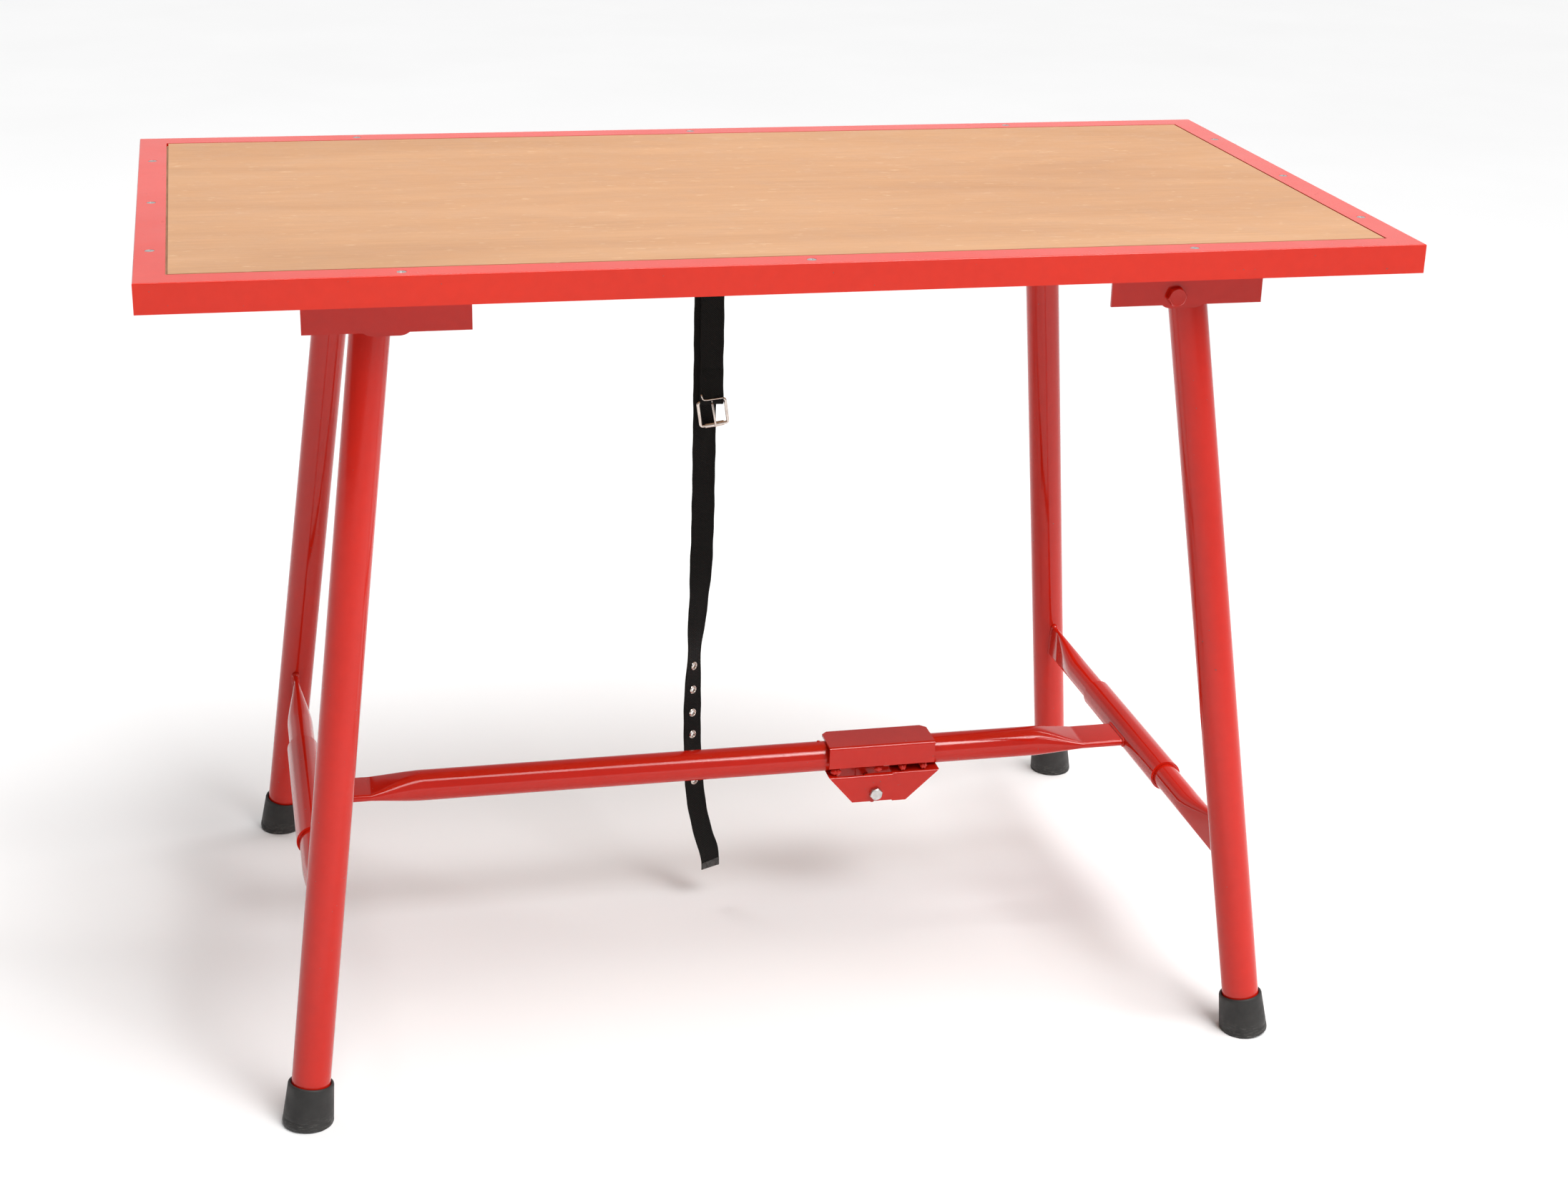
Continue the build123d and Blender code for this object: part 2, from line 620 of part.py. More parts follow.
# Outer channel under the left tube: two side plates joined by a strap at its left end
outer_side = [
    (OUTER_WEB_LEFT, CHANNEL_TOP_Z - 0.02),
    (OUTER_RIGHT, CHANNEL_TOP_Z - 0.02),
    (OUTER_RIGHT, OUTER_BOTTOM_Z),
    (OUTER_SLANT_X, OUTER_BOTTOM_Z),
]
xz_plane = Plane(origin=(0, -CHANNEL_HALF_WIDTH, 0), x_dir=(1, 0, 0), z_dir=(0, -1, 0))
with BuildPart() as outer_channel:
    with BuildSketch(xz_plane):
        with BuildLine():
            Polyline(outer_side, close=True)
        make_face()
    extrude(amount=-2 * CHANNEL_HALF_WIDTH)
    fillet(
        outer_channel.edges().filter_by(Axis.X).filter_by(lambda e: e.center().Z > CHANNEL_TOP_Z - 1),
        CHANNEL_BEND,
    )
    with BuildSketch(Plane.XY.offset(OUTER_BOTTOM_Z - 1)):
        with Locations((JOINT_BOLT_X, 0)):
            Rectangle(2 * JOINT_BOLT_X, 2 * (CHANNEL_HALF_WIDTH - PLATE))
    extrude(amount=CHANNEL_TOP_Z - PLATE - OUTER_BOTTOM_Z + 1, mode=Mode.SUBTRACT)
    with BuildSketch(Plane.XY.offset(CHANNEL_TOP_Z - PLATE - 1)):
        with Locations(((OUTER_WEB_RIGHT + INNER_RIGHT) / 2, 0)):
            Rectangle(INNER_RIGHT - OUTER_WEB_RIGHT, 2 * (CHANNEL_HALF_WIDTH - PLATE))
    extrude(amount=PLATE + 3, mode=Mode.SUBTRACT)
    with BuildSketch(xz_plane):
        with Locations((JOINT_BOLT_X, JOINT_BOLT_Z)):
            Circle(JOINT_BOLT_RADIUS + 0.1)
    extrude(amount=-2 * CHANNEL_HALF_WIDTH, mode=Mode.SUBTRACT)
save("outer_channel", outer_channel.part)


def notch_outline():
    """Wedge through which the joint's bolt leaves the inner channel as the table folds."""
    steep = math.radians(NOTCH_STEEP)
    shallow = math.radians(NOTCH_SHALLOW)
    left = (
        JOINT_BOLT_X - NOTCH_RADIUS * math.sin(steep),
        JOINT_BOLT_Z - NOTCH_RADIUS * math.cos(steep),
    )
    upper = (
        JOINT_BOLT_X + NOTCH_RADIUS * math.sin(shallow),
        JOINT_BOLT_Z + NOTCH_RADIUS * math.cos(shallow),
    )
    return [
        left,
        (left[0] + NOTCH_REACH * math.cos(steep), left[1] - NOTCH_REACH * math.sin(steep)),
        (upper[0] + NOTCH_REACH * math.cos(shallow), upper[1] - NOTCH_REACH * math.sin(shallow)),
        upper,
        (JOINT_BOLT_X, JOINT_BOLT_Z),
    ]


# Inner channel under the right tube, hooked over the bolt of the outer one
inner_side = [
    (INNER_RIGHT, CHANNEL_TOP_Z - 0.02),
    (INNER_LEFT, CHANNEL_TOP_Z - 0.02),
    (INNER_LEFT, INNER_CORNER_Z),
    (INNER_CORNER_X, INNER_BOTTOM_Z),
    (INNER_SLANT_X, INNER_BOTTOM_Z),
]
inner_plane = Plane(origin=(0, -INNER_HALF_WIDTH, 0), x_dir=(1, 0, 0), z_dir=(0, -1, 0))
with BuildPart() as inner_channel:
    with BuildSketch(inner_plane):
        with BuildLine():
            Polyline(inner_side, close=True)
        make_face()
    extrude(amount=-2 * INNER_HALF_WIDTH)
    fillet(
        inner_channel.edges().filter_by(Axis.X).filter_by(lambda e: e.center().Z > CHANNEL_TOP_Z - 1),
        INNER_BEND,
    )
    with BuildSketch(Plane.XY.offset(INNER_BOTTOM_Z - 1)):
        with Locations((INNER_WEB_LEFT, 0)):
            Rectangle(INNER_RIGHT, 2 * (INNER_HALF_WIDTH - PLATE))
    extrude(amount=CHANNEL_TOP_Z - PLATE - INNER_BOTTOM_Z + 1, mode=Mode.SUBTRACT)
    with BuildSketch(Plane.XY.offset(CHANNEL_TOP_Z - PLATE - 1)):
        with Locations(((INNER_WEB_LEFT + OUTER_WEB_LEFT) / 2, 0)):
            Rectangle(INNER_WEB_LEFT - OUTER_WEB_LEFT, 2 * (INNER_HALF_WIDTH - PLATE))
    extrude(amount=PLATE + 3, mode=Mode.SUBTRACT)
    with BuildSketch(inner_plane):
        with Locations((JOINT_BOLT_X, JOINT_BOLT_Z)):
            Circle(NOTCH_RADIUS)
        with BuildLine():
            Polyline(notch_outline(), close=True)
        make_face()
    extrude(amount=-2 * INNER_HALF_WIDTH, mode=Mode.SUBTRACT)
save("inner_channel", inner_channel.part)

# Bolt of the stretcher joint, head at the front, nut at the rear
bolt_plane = Plane(origin=(0, -CHANNEL_HALF_WIDTH, 0), x_dir=(1, 0, 0), z_dir=(0, -1, 0))
with BuildPart() as joint_bolt:
    with BuildSketch(bolt_plane):
        with Locations((JOINT_BOLT_X, JOINT_BOLT_Z)):
            Circle(JOINT_BOLT_RADIUS)
    extrude(amount=-(2 * CHANNEL_HALF_WIDTH + JOINT_BOLT_TAIL))
    with BuildSketch(bolt_plane):
        with Locations((JOINT_BOLT_X, JOINT_BOLT_Z)):
            RegularPolygon(hexagon_radius(JOINT_BOLT_FLATS), 6)
    extrude(amount=JOINT_HEAD_THICKNESS)
save("joint_bolt", joint_bolt.part)

with BuildPart() as joint_nut:
    with BuildSketch(bolt_plane.offset(-2 * CHANNEL_HALF_WIDTH)):
        with Locations((JOINT_BOLT_X, JOINT_BOLT_Z)):
            RegularPolygon(hexagon_radius(JOINT_BOLT_FLATS), 6)
            Circle(JOINT_BOLT_RADIUS + 0.05, mode=Mode.SUBTRACT)
    extrude(amount=-JOINT_NUT_THICKNESS)
save("joint_nut", joint_nut.part)


# ---------------------------------------------------------------- holding strap

# Plate that clamps the ends of both straps to the underside of the board
with BuildPart() as strap_clamp:
    with BuildSketch(Plane.XY.offset(CORE_BOTTOM_Z - ANCHOR_DEPTH)):
        with Locations((ANCHOR_X, ANCHOR_Y)):
            RectangleRounded(2 * (ANCHOR_SCREW_REACH + ANCHOR_MARGIN), ANCHOR_WIDTH, ANCHOR_CORNER)
            Rectangle(*ANCHOR_SLOT, mode=Mode.SUBTRACT)
        with Locations(ANCHOR_SCREWS):
            Circle(SCREW_PILOT_RADIUS, mode=Mode.SUBTRACT)
    extrude(amount=ANCHOR_DEPTH)
save("strap_clamp", strap_clamp.part)
pan_screws("strap_clamp_screws", ANCHOR_SCREWS, CORE_BOTTOM_Z - ANCHOR_DEPTH)


def corner_radii(points):
    """Arc radius at each corner: 0.45 of the shorter run over the tangent of half the turn."""
    radii = []
    for before, here, after in zip(points, points[1:], points[2:]):
        run_in = Vector(here[0] - before[0], here[1] - before[1])
        run_out = Vector(after[0] - here[0], after[1] - here[1])
        turn = math.radians(run_in.get_angle(run_out))
        radii.append(0.45 * min(run_in.length, run_out.length) / math.tan(turn / 2))
    return radii


def strap_x(z):
    """Where the long strap hangs at this height."""
    for upper, lower in zip(STRAP_ROUTE, STRAP_ROUTE[1:]):
        if lower[1] <= z <= upper[1]:
            return lower[0] + (upper[0] - lower[0]) * (z - lower[1]) / (upper[1] - lower[1])
    return STRAP_ROUTE[-1][0]


strap_radii = corner_radii(STRAP_ROUTE)
eyelet_points = [(strap_x(z), z) for z in EYELET_Z]
strap_plane = Plane(origin=(0, STRAP_Y, 0), x_dir=(1, 0, 0), z_dir=(0, -1, 0))
with BuildPart() as strap_long:
    with BuildLine(strap_plane) as strap_path:
        FilletPolyline(STRAP_ROUTE, radius=strap_radii)
    with BuildSketch(Plane(origin=strap_path.line @ 0, x_dir=(0, 1, 0), z_dir=strap_path.line % 0)):
        Rectangle(STRAP_SHEET, STRAP_WIDTH)
    sweep()
    with BuildSketch(strap_plane.offset(-5)):
        with Locations(eyelet_points):
            Circle(EYELET_HOLE_RADIUS + EYELET_BARREL + 0.05)
    extrude(amount=10, mode=Mode.SUBTRACT)
save("strap_long", strap_long.part)

with BuildPart() as strap_eyelets:
    with BuildSketch(strap_plane.offset(-STRAP_SHEET / 2 - EYELET_FLANGE / 2)):
        with Locations(eyelet_points):
            Circle(EYELET_HOLE_RADIUS + EYELET_BARREL)
    extrude(amount=STRAP_SHEET + EYELET_FLANGE)
    with BuildSketch(strap_plane.offset(STRAP_SHEET / 2)):
        with Locations(eyelet_points):
            Circle(EYELET_OUTER_RADIUS)
    extrude(amount=EYELET_FLANGE)
    with BuildSketch(strap_plane.offset(-STRAP_SHEET / 2 - EYELET_FLANGE)):
        with Locations(eyelet_points):
            Circle(EYELET_OUTER_RADIUS)
    extrude(amount=EYELET_FLANGE)
    with BuildSketch(strap_plane.offset(-STRAP_SHEET / 2 - 1)):
        with Locations(eyelet_points):
            Circle(EYELET_HOLE_RADIUS)
    extrude(amount=STRAP_SHEET + 2, mode=Mode.SUBTRACT)
save("strap_eyelets", strap_eyelets.part)

# Short strap, folded round the buckle's top bar and slotted for the prong
LOOP_RADIUS = BUCKLE_WIRE + 0.3
with BuildPart() as strap_short:
    with BuildSketch(Plane.XY.offset(BUCKLE_TOP_Z)):
        with Locations((SHORT_STRAP_X, SHORT_STRAP_Y)):
            Rectangle(STRAP_WIDTH, STRAP_SHEET)
    extrude(amount=CORE_BOTTOM_Z - BUCKLE_TOP_Z)
    loop_plane = Plane(origin=(SHORT_STRAP_X, SHORT_STRAP_Y, BUCKLE_TOP_Z), x_dir=(0, 1, 0), z_dir=(1, 0, 0))
    with BuildSketch(loop_plane):
        Circle(LOOP_RADIUS + STRAP_SHEET)
        with BuildLine():
            Polyline(
                [
                    (-LOOP_RADIUS - STRAP_SHEET, 0),
                    (LOOP_RADIUS + STRAP_SHEET, 0),
                    (STRAP_SHEET / 2, STRAP_FOLD_HEIGHT),
                    (-STRAP_SHEET / 2, STRAP_FOLD_HEIGHT),
                ],
                close=True,
            )
        make_face()
    extrude(amount=STRAP_WIDTH / 2, both=True)
    with BuildSketch(loop_plane):
        Circle(LOOP_RADIUS)
    extrude(amount=STRAP_WIDTH / 2, both=True, mode=Mode.SUBTRACT)
    with BuildSketch(loop_plane):
        Circle(LOOP_RADIUS + STRAP_SHEET + 1)
    extrude(amount=STRAP_SLOT_HALF, both=True, mode=Mode.SUBTRACT)
save("strap_short", strap_short.part)

# Roller buckle: wire frame, roller on its lower bar, prong on its upper bar
BUCKLE_BOTTOM_Z = BUCKLE_TOP_Z - BUCKLE_HEIGHT + 2 * BUCKLE_WIRE
buckle_plane = Plane(origin=(SHORT_STRAP_X, SHORT_STRAP_Y, 0), x_dir=(1, 0, 0), z_dir=(0, -1, 0))
bar_half = BUCKLE_WIDTH / 2 - BUCKLE_WIRE
with BuildPart() as buckle_frame:
    with BuildLine(buckle_plane) as buckle_path:
        FilletPolyline(
            [
                (bar_half, BUCKLE_TOP_Z),
                (bar_half, BUCKLE_BOTTOM_Z),
                (-bar_half, BUCKLE_BOTTOM_Z),
                (-bar_half, BUCKLE_TOP_Z),
            ],
            radius=BUCKLE_CORNER,
            close=True,
        )
    with BuildSketch(Plane(origin=buckle_path.line @ 0, z_dir=buckle_path.line % 0)):
        Circle(BUCKLE_WIRE)
    sweep()
save("buckle_frame", buckle_frame.part)

with BuildPart() as buckle_roller:
    with BuildSketch(Plane(origin=(SHORT_STRAP_X, SHORT_STRAP_Y, BUCKLE_BOTTOM_Z), z_dir=(1, 0, 0))):
        Circle(BUCKLE_WIRE + 0.2 + ROLLER_WALL)
        Circle(BUCKLE_WIRE + 0.2, mode=Mode.SUBTRACT)
    extrude(amount=ROLLER_HALF, both=True)
save("buckle_roller", buckle_roller.part)

with BuildPart() as buckle_prong:
    with BuildSketch(Plane(origin=(SHORT_STRAP_X, SHORT_STRAP_Y, BUCKLE_TOP_Z), z_dir=(1, 0, 0))):
        Circle(BUCKLE_WIRE + 1.6)
        Circle(BUCKLE_WIRE + 0.2, mode=Mode.SUBTRACT)
    extrude(amount=PRONG_HALF_WIDTH, both=True)
    prong_tip = (SHORT_STRAP_X, SHORT_STRAP_Y - PRONG_OFFSET, BUCKLE_TOP_Z - PRONG_LENGTH)
    with BuildSketch(Plane(origin=prong_tip)):
        Circle(PRONG_RADIUS)
    extrude(amount=PRONG_LENGTH)
    prong_root = (SHORT_STRAP_X, SHORT_STRAP_Y - PRONG_OFFSET / 2, BUCKLE_TOP_Z)
    with BuildSketch(Plane(origin=prong_root, z_dir=(0, -1, 0))):
        Rectangle(2 * PRONG_RADIUS, 2 * PRONG_RADIUS)
    extrude(amount=PRONG_OFFSET / 2 + PRONG_RADIUS / 2)
save("buckle_prong", buckle_prong.part)
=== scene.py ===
import json
import math
import random

import bmesh
import bpy
from mathutils import Matrix, Vector


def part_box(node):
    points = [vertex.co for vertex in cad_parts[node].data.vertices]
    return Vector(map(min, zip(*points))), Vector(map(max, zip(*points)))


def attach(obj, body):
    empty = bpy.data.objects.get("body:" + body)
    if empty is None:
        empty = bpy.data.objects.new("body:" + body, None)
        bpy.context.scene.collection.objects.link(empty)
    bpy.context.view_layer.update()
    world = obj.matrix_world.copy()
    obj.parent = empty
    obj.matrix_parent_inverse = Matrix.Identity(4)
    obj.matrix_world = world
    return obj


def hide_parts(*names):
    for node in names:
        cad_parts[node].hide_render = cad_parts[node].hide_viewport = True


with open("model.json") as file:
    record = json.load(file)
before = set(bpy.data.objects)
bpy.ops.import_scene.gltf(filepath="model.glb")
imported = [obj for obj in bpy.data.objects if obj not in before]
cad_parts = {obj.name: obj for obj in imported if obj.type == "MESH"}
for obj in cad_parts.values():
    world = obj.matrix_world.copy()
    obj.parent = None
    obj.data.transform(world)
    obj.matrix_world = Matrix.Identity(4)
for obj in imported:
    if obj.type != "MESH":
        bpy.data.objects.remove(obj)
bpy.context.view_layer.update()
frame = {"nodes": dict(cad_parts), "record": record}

MM = 0.001
SIDES = {"left": -1, "right": 1}
ENDS = {"front": -1, "rear": 1}
record = frame["record"]
joints = {joint["name"]: joint for joint in record["behaviour"]["joints"]}

# Sizes read from the frame, and the thin half of each pressed end, which its box does not give
top_low, top_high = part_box("rim_front")
TOP_Z = top_high[2]
BAR_X = joints["right_brace_swing"]["pos_m"][0]
BAR_Z = joints["right_brace_swing"]["pos_m"][2]
HINGE_X = joints["right_legs_fold"]["pos_m"][0]
HINGE_Z = joints["right_legs_fold"]["pos_m"][2]
sleeve_low, sleeve_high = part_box("right_sleeve")
SLEEVE_RADIUS = (sleeve_high[2] - sleeve_low[2]) / 2
bar_low, bar_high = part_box("right_crossbar")
CROSSBAR_RADIUS = (bar_high[0] - bar_low[0]) / 2
CROSSBAR_FLAT_HALF = (bar_high[2] - bar_low[2]) / 2
CROSSBAR_FLAT_THIN = 3.0 * MM
tube_low, tube_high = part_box("right_stretcher")
STRETCHER_RADIUS = (tube_high[2] - tube_low[2]) / 2
STRETCHER_FLAT_HALF = (tube_high[1] - tube_low[1]) / 2
STRETCHER_FLAT_THIN = 4.0 * MM
# Leg tube, and the two ends of the rear right leg's axis, which the other legs mirror
TUBE_RADIUS = 19.0 * MM
FOOT = Vector((488.7, 326.2, 0.0)) * MM
LEG_TOP = Vector((391.5, 225.9, 801.0)) * MM


# ---------------------------------------------------------------- mesh helpers

def link(thing):
    """Puts an object in the scene."""
    bpy.context.scene.collection.objects.link(thing)
    return thing


def new_piece(name, verts, faces, material, body, smooth=True, replaces=()):
    """A mesh object made from lists, riding on a body."""
    mesh = bpy.data.meshes.new(name)
    mesh.from_pydata([tuple(v) for v in verts], [], faces)
    mesh.validate()
    mesh.update()
    mesh.polygons.foreach_set("use_smooth", [smooth] * len(mesh.polygons))
    mesh.materials.append(material)
    piece = link(bpy.data.objects.new(name, mesh))
    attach(piece, body)
    if replaces:
        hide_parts(*replaces)
    return piece


def outward(piece):
    """Turns every face of a closed mesh outward."""
    work = bmesh.new()
    work.from_mesh(piece.data)
    bmesh.ops.recalc_face_normals(work, faces=work.faces)
    work.to_mesh(piece.data)
    work.free()
    return piece


def sharpen(piece, degrees):
    """Marks creases steeper than an angle, so smooth shading stops there."""
    piece.data.set_sharp_from_angle(angle=math.radians(degrees))
    return piece


def skin_rings(rings, loop=False):
    """Vertices and faces of a tube through equal rings of points."""
    count = len(rings[0])
    verts = [p for ring in rings for p in ring]
    faces = []
    spans = len(rings) if loop else len(rings) - 1
    for i in range(spans):
        a = i * count
        b = ((i + 1) % len(rings)) * count
        for k in range(count):
            n = (k + 1) % count
            faces.append((a + k, a + n, b + n, b + k))
    if not loop:
        last = (len(rings) - 1) * count
        faces.append(tuple(reversed(range(count))))
        faces.append(tuple(range(last, last + count)))
    return verts, faces


def add_part(verts, faces, part):
    """Adds one more part to the vertices and faces of a piece made of several."""
    base = len(verts)
    verts += part[0]
    faces += [tuple(i + base for i in face) for face in part[1]]


def axes_for(direction):
    """Two unit vectors square to a direction."""
    direction = direction.normalized()
    helper = Vector((0, 0, 1)) if abs(direction.z) < 0.9 else Vector((1, 0, 0))
    side = direction.cross(helper).normalized()
    return side, direction.cross(side).normalized()


def lathe(profile, origin, direction, segments=72):
    """Closed solid of revolution: profile is (height, radius) pairs, first and last at radius 0."""
    side, up = axes_for(direction)
    direction = direction.normalized()
    verts = [origin + direction * profile[0][0]]
    inner = profile[1:-1]
    for height, radius in inner:
        for k in range(segments):
            turn = math.tau * k / segments
            verts.append(
                origin + direction * height
                + side * (radius * math.cos(turn)) + up * (radius * math.sin(turn))
            )
    verts.append(origin + direction * profile[-1][0])
    faces = []
    for k in range(segments):
        faces.append((0, 1 + (k + 1) % segments, 1 + k))
    for i in range(len(inner) - 1):
        a = 1 + i * segments
        b = a + segments
        for k in range(segments):
            n = (k + 1) % segments
            faces.append((a + k, a + n, b + n, b + k))
    last = len(verts) - 1
    a = 1 + (len(inner) - 1) * segments
    for k in range(segments):
        faces.append((a + k, a + (k + 1) % segments, last))
    return verts, faces


def tube_along(points, radius, segments=16, loop=False):
    """Vertices and faces of a round tube through points; radius is a number or one per point."""
    rings = []
    count = len(points)
    previous = None
    for i, point in enumerate(points):
        before = points[i - 1] if i or loop else point
        after = points[(i + 1) % count] if i < count - 1 or loop else point
        along = (after - before).normalized()
        if previous is None:
            side = axes_for(along)[0]
        else:
            side = (previous - along * previous.dot(along)).normalized()
        previous = side
        up = along.cross(side).normalized()
        r = radius[i] if isinstance(radius, (list, tuple)) else radius
        rings.append([
            point + side * (r * math.cos(t)) + up * (r * math.sin(t))
            for t in (math.tau * k / segments for k in range(segments))
        ])
    return skin_rings(rings, loop=loop)


def weld_bead(name, points, radius, body, seed, loop=False):
    """A run of weld: a bead with the ripples and uneven width of stacked drops, painted over."""
    rng = random.Random(seed)
    dense = []
    count = len(points)
    spans = count if loop else count - 1
    for i in range(spans):
        a, b = points[i], points[(i + 1) % count]
        steps = max(1, int((b - a).length / (0.7 * MM)))
        dense += [a.lerp(b, s / steps) for s in range(steps)]
    if not loop:
        dense.append(points[-1])
    radii = []
    drift = 0.0
    phase = rng.uniform(0, math.tau)
    for i in range(len(dense)):
        drift = 0.9 * drift + rng.uniform(-0.03, 0.03)
        ripple = 0.10 * math.sin(phase + i * 0.7 * math.tau / 3.4)
        taper = 1.0
        if not loop:
            edge = min(i, len(dense) - 1 - i)
            taper = min(1.0, 0.35 + edge * 0.22)
        radii.append(radius * taper * (1.0 + ripple + drift))
    verts, faces = tube_along(dense, radii, segments=14, loop=loop)
    return outward(new_piece(name, verts, faces, frame_paint, body))


def drop(name, centre, normal, radius, height, body):
    """A low round lump, such as a spatter or a tack weld."""
    rows = 7
    profile = [(-0.4 * height, 0.0)]
    for i in range(rows + 1):
        turn = math.pi / 2 * i / rows
        profile.append((height * math.sin(turn), max(radius * math.cos(turn), 0.02 * MM)))
    profile.append((height, 0.0))
    verts, faces = lathe(profile, centre, normal, segments=24)
    return outward(new_piece(name, verts, faces, frame_paint, body))


def rounded_hexagon(name, centre, normal, flats, height, material, body, replaces=(), turn=0.0):
    """Bolt head: hexagon with its outer corners turned off and a washer face below."""
    side, up = axes_for(normal)
    normal = normal.normalized()
    segments = 120
    outer = flats / 2

    def hexagon(angle):
        part = (angle - turn) % (math.pi / 3) - math.pi / 6
        return outer / math.cos(part)

    rings = []
    rows = [(0.0, 0.96, True), (0.06, 0.96, True), (0.07, 1.0, False), (0.72, 1.0, False)]
    for i in range(6):
        rows.append((0.72 + 0.28 * (i + 1) / 6, None, i))
    for share, scale, round_face in rows:
        ring = []
        for k in range(segments):
            angle = math.tau * k / segments
            if scale is None:
                limit = outer * (1.135 - 0.20 * ((round_face + 1) / 6) ** 1.6)
                r = min(hexagon(angle), limit)
            elif round_face is True:
                r = outer * scale
            else:
                r = hexagon(angle)
            ring.append(
                centre + normal * (height * share)
                + side * (r * math.cos(angle)) + up * (r * math.sin(angle))
            )
        rings.append(ring)
    dish = [centre + normal * (height * 0.965) + (p - centre - normal * height) * 0.80 for p in rings[-1]]
    rings.append(dish)
    verts, faces = skin_rings(rings)
    piece = new_piece(name, verts, faces, material, body, replaces=replaces)
    return sharpen(outward(piece), 28)


# ---------------------------------------------------------------- materials

def start_material(name):
    material = bpy.data.materials.new(name)
    material.use_nodes = True
    tree = material.node_tree
    tree.nodes.clear()
    out = tree.nodes.new("ShaderNodeOutputMaterial")
    shader = tree.nodes.new("ShaderNodeBsdfPrincipled")
    tree.links.new(shader.outputs[0], out.inputs[0])
    coords = tree.nodes.new("ShaderNodeTexCoord")
    return material, tree, shader, coords.outputs["Object"]


def stretched(tree, coords, scale):
    node = tree.nodes.new("ShaderNodeMapping")
    node.inputs["Scale"].default_value = scale
    tree.links.new(coords, node.inputs["Vector"])
    return node.outputs[0]


def noise(tree, coords, scale, detail=4.0, rough=0.55, distortion=0.0):
    node = tree.nodes.new("ShaderNodeTexNoise")
    node.inputs["Scale"].default_value = scale
    node.inputs["Detail"].default_value = detail
    node.inputs["Roughness"].default_value = rough
    node.inputs["Distortion"].default_value = distortion
    tree.links.new(coords, node.inputs["Vector"])
    return node.outputs[0]


def ramp(tree, value, stops):
    node = tree.nodes.new("ShaderNodeValToRGB")
    elements = node.color_ramp.elements
    while len(elements) < len(stops):
        elements.new(0.5)
    for element, (place, colour) in zip(elements, stops):
        element.position = place
        element.color = (*colour, 1.0)
    tree.links.new(value, node.inputs[0])
    return node.outputs[0]


def span(tree, value, low, high, out_low=0.0, out_high=1.0):
    node = tree.nodes.new("ShaderNodeMapRange")
    node.inputs["From Min"].default_value = low
    node.inputs["From Max"].default_value = high
    node.inputs["To Min"].default_value = out_low
    node.inputs["To Max"].default_value = out_high
    tree.links.new(value, node.inputs["Value"])
    return node.outputs[0]


def math_node(tree, operation, a, b=None):
    node = tree.nodes.new("ShaderNodeMath")
    node.operation = operation
    for socket, value in zip(node.inputs, (a, b)):
        if value is None:
            continue
        if isinstance(value, (int, float)):
            socket.default_value = value
        else:
            tree.links.new(value, socket)
    return node.outputs[0]


def times(tree, a, b):
    return math_node(tree, "MULTIPLY", a, b)


def mix(tree, factor, a, b, blend="MIX"):
    node = tree.nodes.new("ShaderNodeMix")
    node.data_type = "RGBA"
    node.blend_type = blend
    sockets = {"Factor": factor, "A": a, "B": b}
    places = {"Factor": node.inputs[0], "A": node.inputs[6], "B": node.inputs[7]}
    for key, value in sockets.items():
        if isinstance(value, (int, float)):
            places[key].default_value = value
        elif isinstance(value, (tuple, list)):
            places[key].default_value = (*value, 1.0)
        else:
            tree.links.new(value, places[key])
    return node.outputs[2]


def bump(tree, height, strength, distance, normal=None):
    node = tree.nodes.new("ShaderNodeBump")
    node.inputs["Strength"].default_value = strength
    node.inputs["Distance"].default_value = distance
    tree.links.new(height, node.inputs["Height"])
    if normal is not None:
        tree.links.new(normal, node.inputs["Normal"])
    return node.outputs[0]


def separate(tree, coords):
    node = tree.nodes.new("ShaderNodeSeparateXYZ")
    tree.links.new(coords, node.inputs[0])
    return node.outputs


def join(tree, shader, colour, rough, surface):
    """Joins a material's colour, roughness and surface normal to its shader."""
    for value, socket in ((colour, "Base Color"), (rough, "Roughness"), (surface, "Normal")):
        tree.links.new(value, shader.inputs[socket])


def red_enamel(name, base, deep, gloss):
    """Smooth gloss enamel: slow colour drift, faint orange peel, dust nibs and a few pin chips."""
    material, tree, shader, coords = start_material(name)
    drift = span(tree, noise(tree, coords, 2.2, 2.0), 0.35, 0.68)
    colour = mix(tree, drift, deep, base)
    fine = span(tree, noise(tree, coords, 90.0, 3.0), 0.3, 0.75, 0.97, 1.03)
    colour = mix(tree, 1.0, colour, fine, "MULTIPLY")
    chip = span(tree, noise(tree, coords, 260.0, 2.0, 0.4), 0.765, 0.785)
    colour = mix(tree, times(tree, chip, 0.7), colour, (0.12, 0.045, 0.035))
    rough = span(tree, noise(tree, coords, 14.0, 3.0), 0.3, 0.7, gloss, gloss + 0.06)
    rough = math_node(tree, "ADD", rough, times(tree, chip, 0.3))
    waves = noise(tree, coords, 26.0, 1.0, 0.4)
    peel = noise(tree, coords, 420.0, 1.0, 0.4)
    nibs = span(tree, noise(tree, coords, 640.0, 1.0, 0.3), 0.72, 0.80)
    surface = bump(tree, waves, 0.05, 0.0012)
    surface = bump(tree, peel, 0.04, 0.0003, surface)
    surface = bump(tree, nibs, 0.25, 0.0002, surface)
    join(tree, shader, colour, rough, surface)
    shader.inputs["Specular IOR Level"].default_value = 0.42
    return material


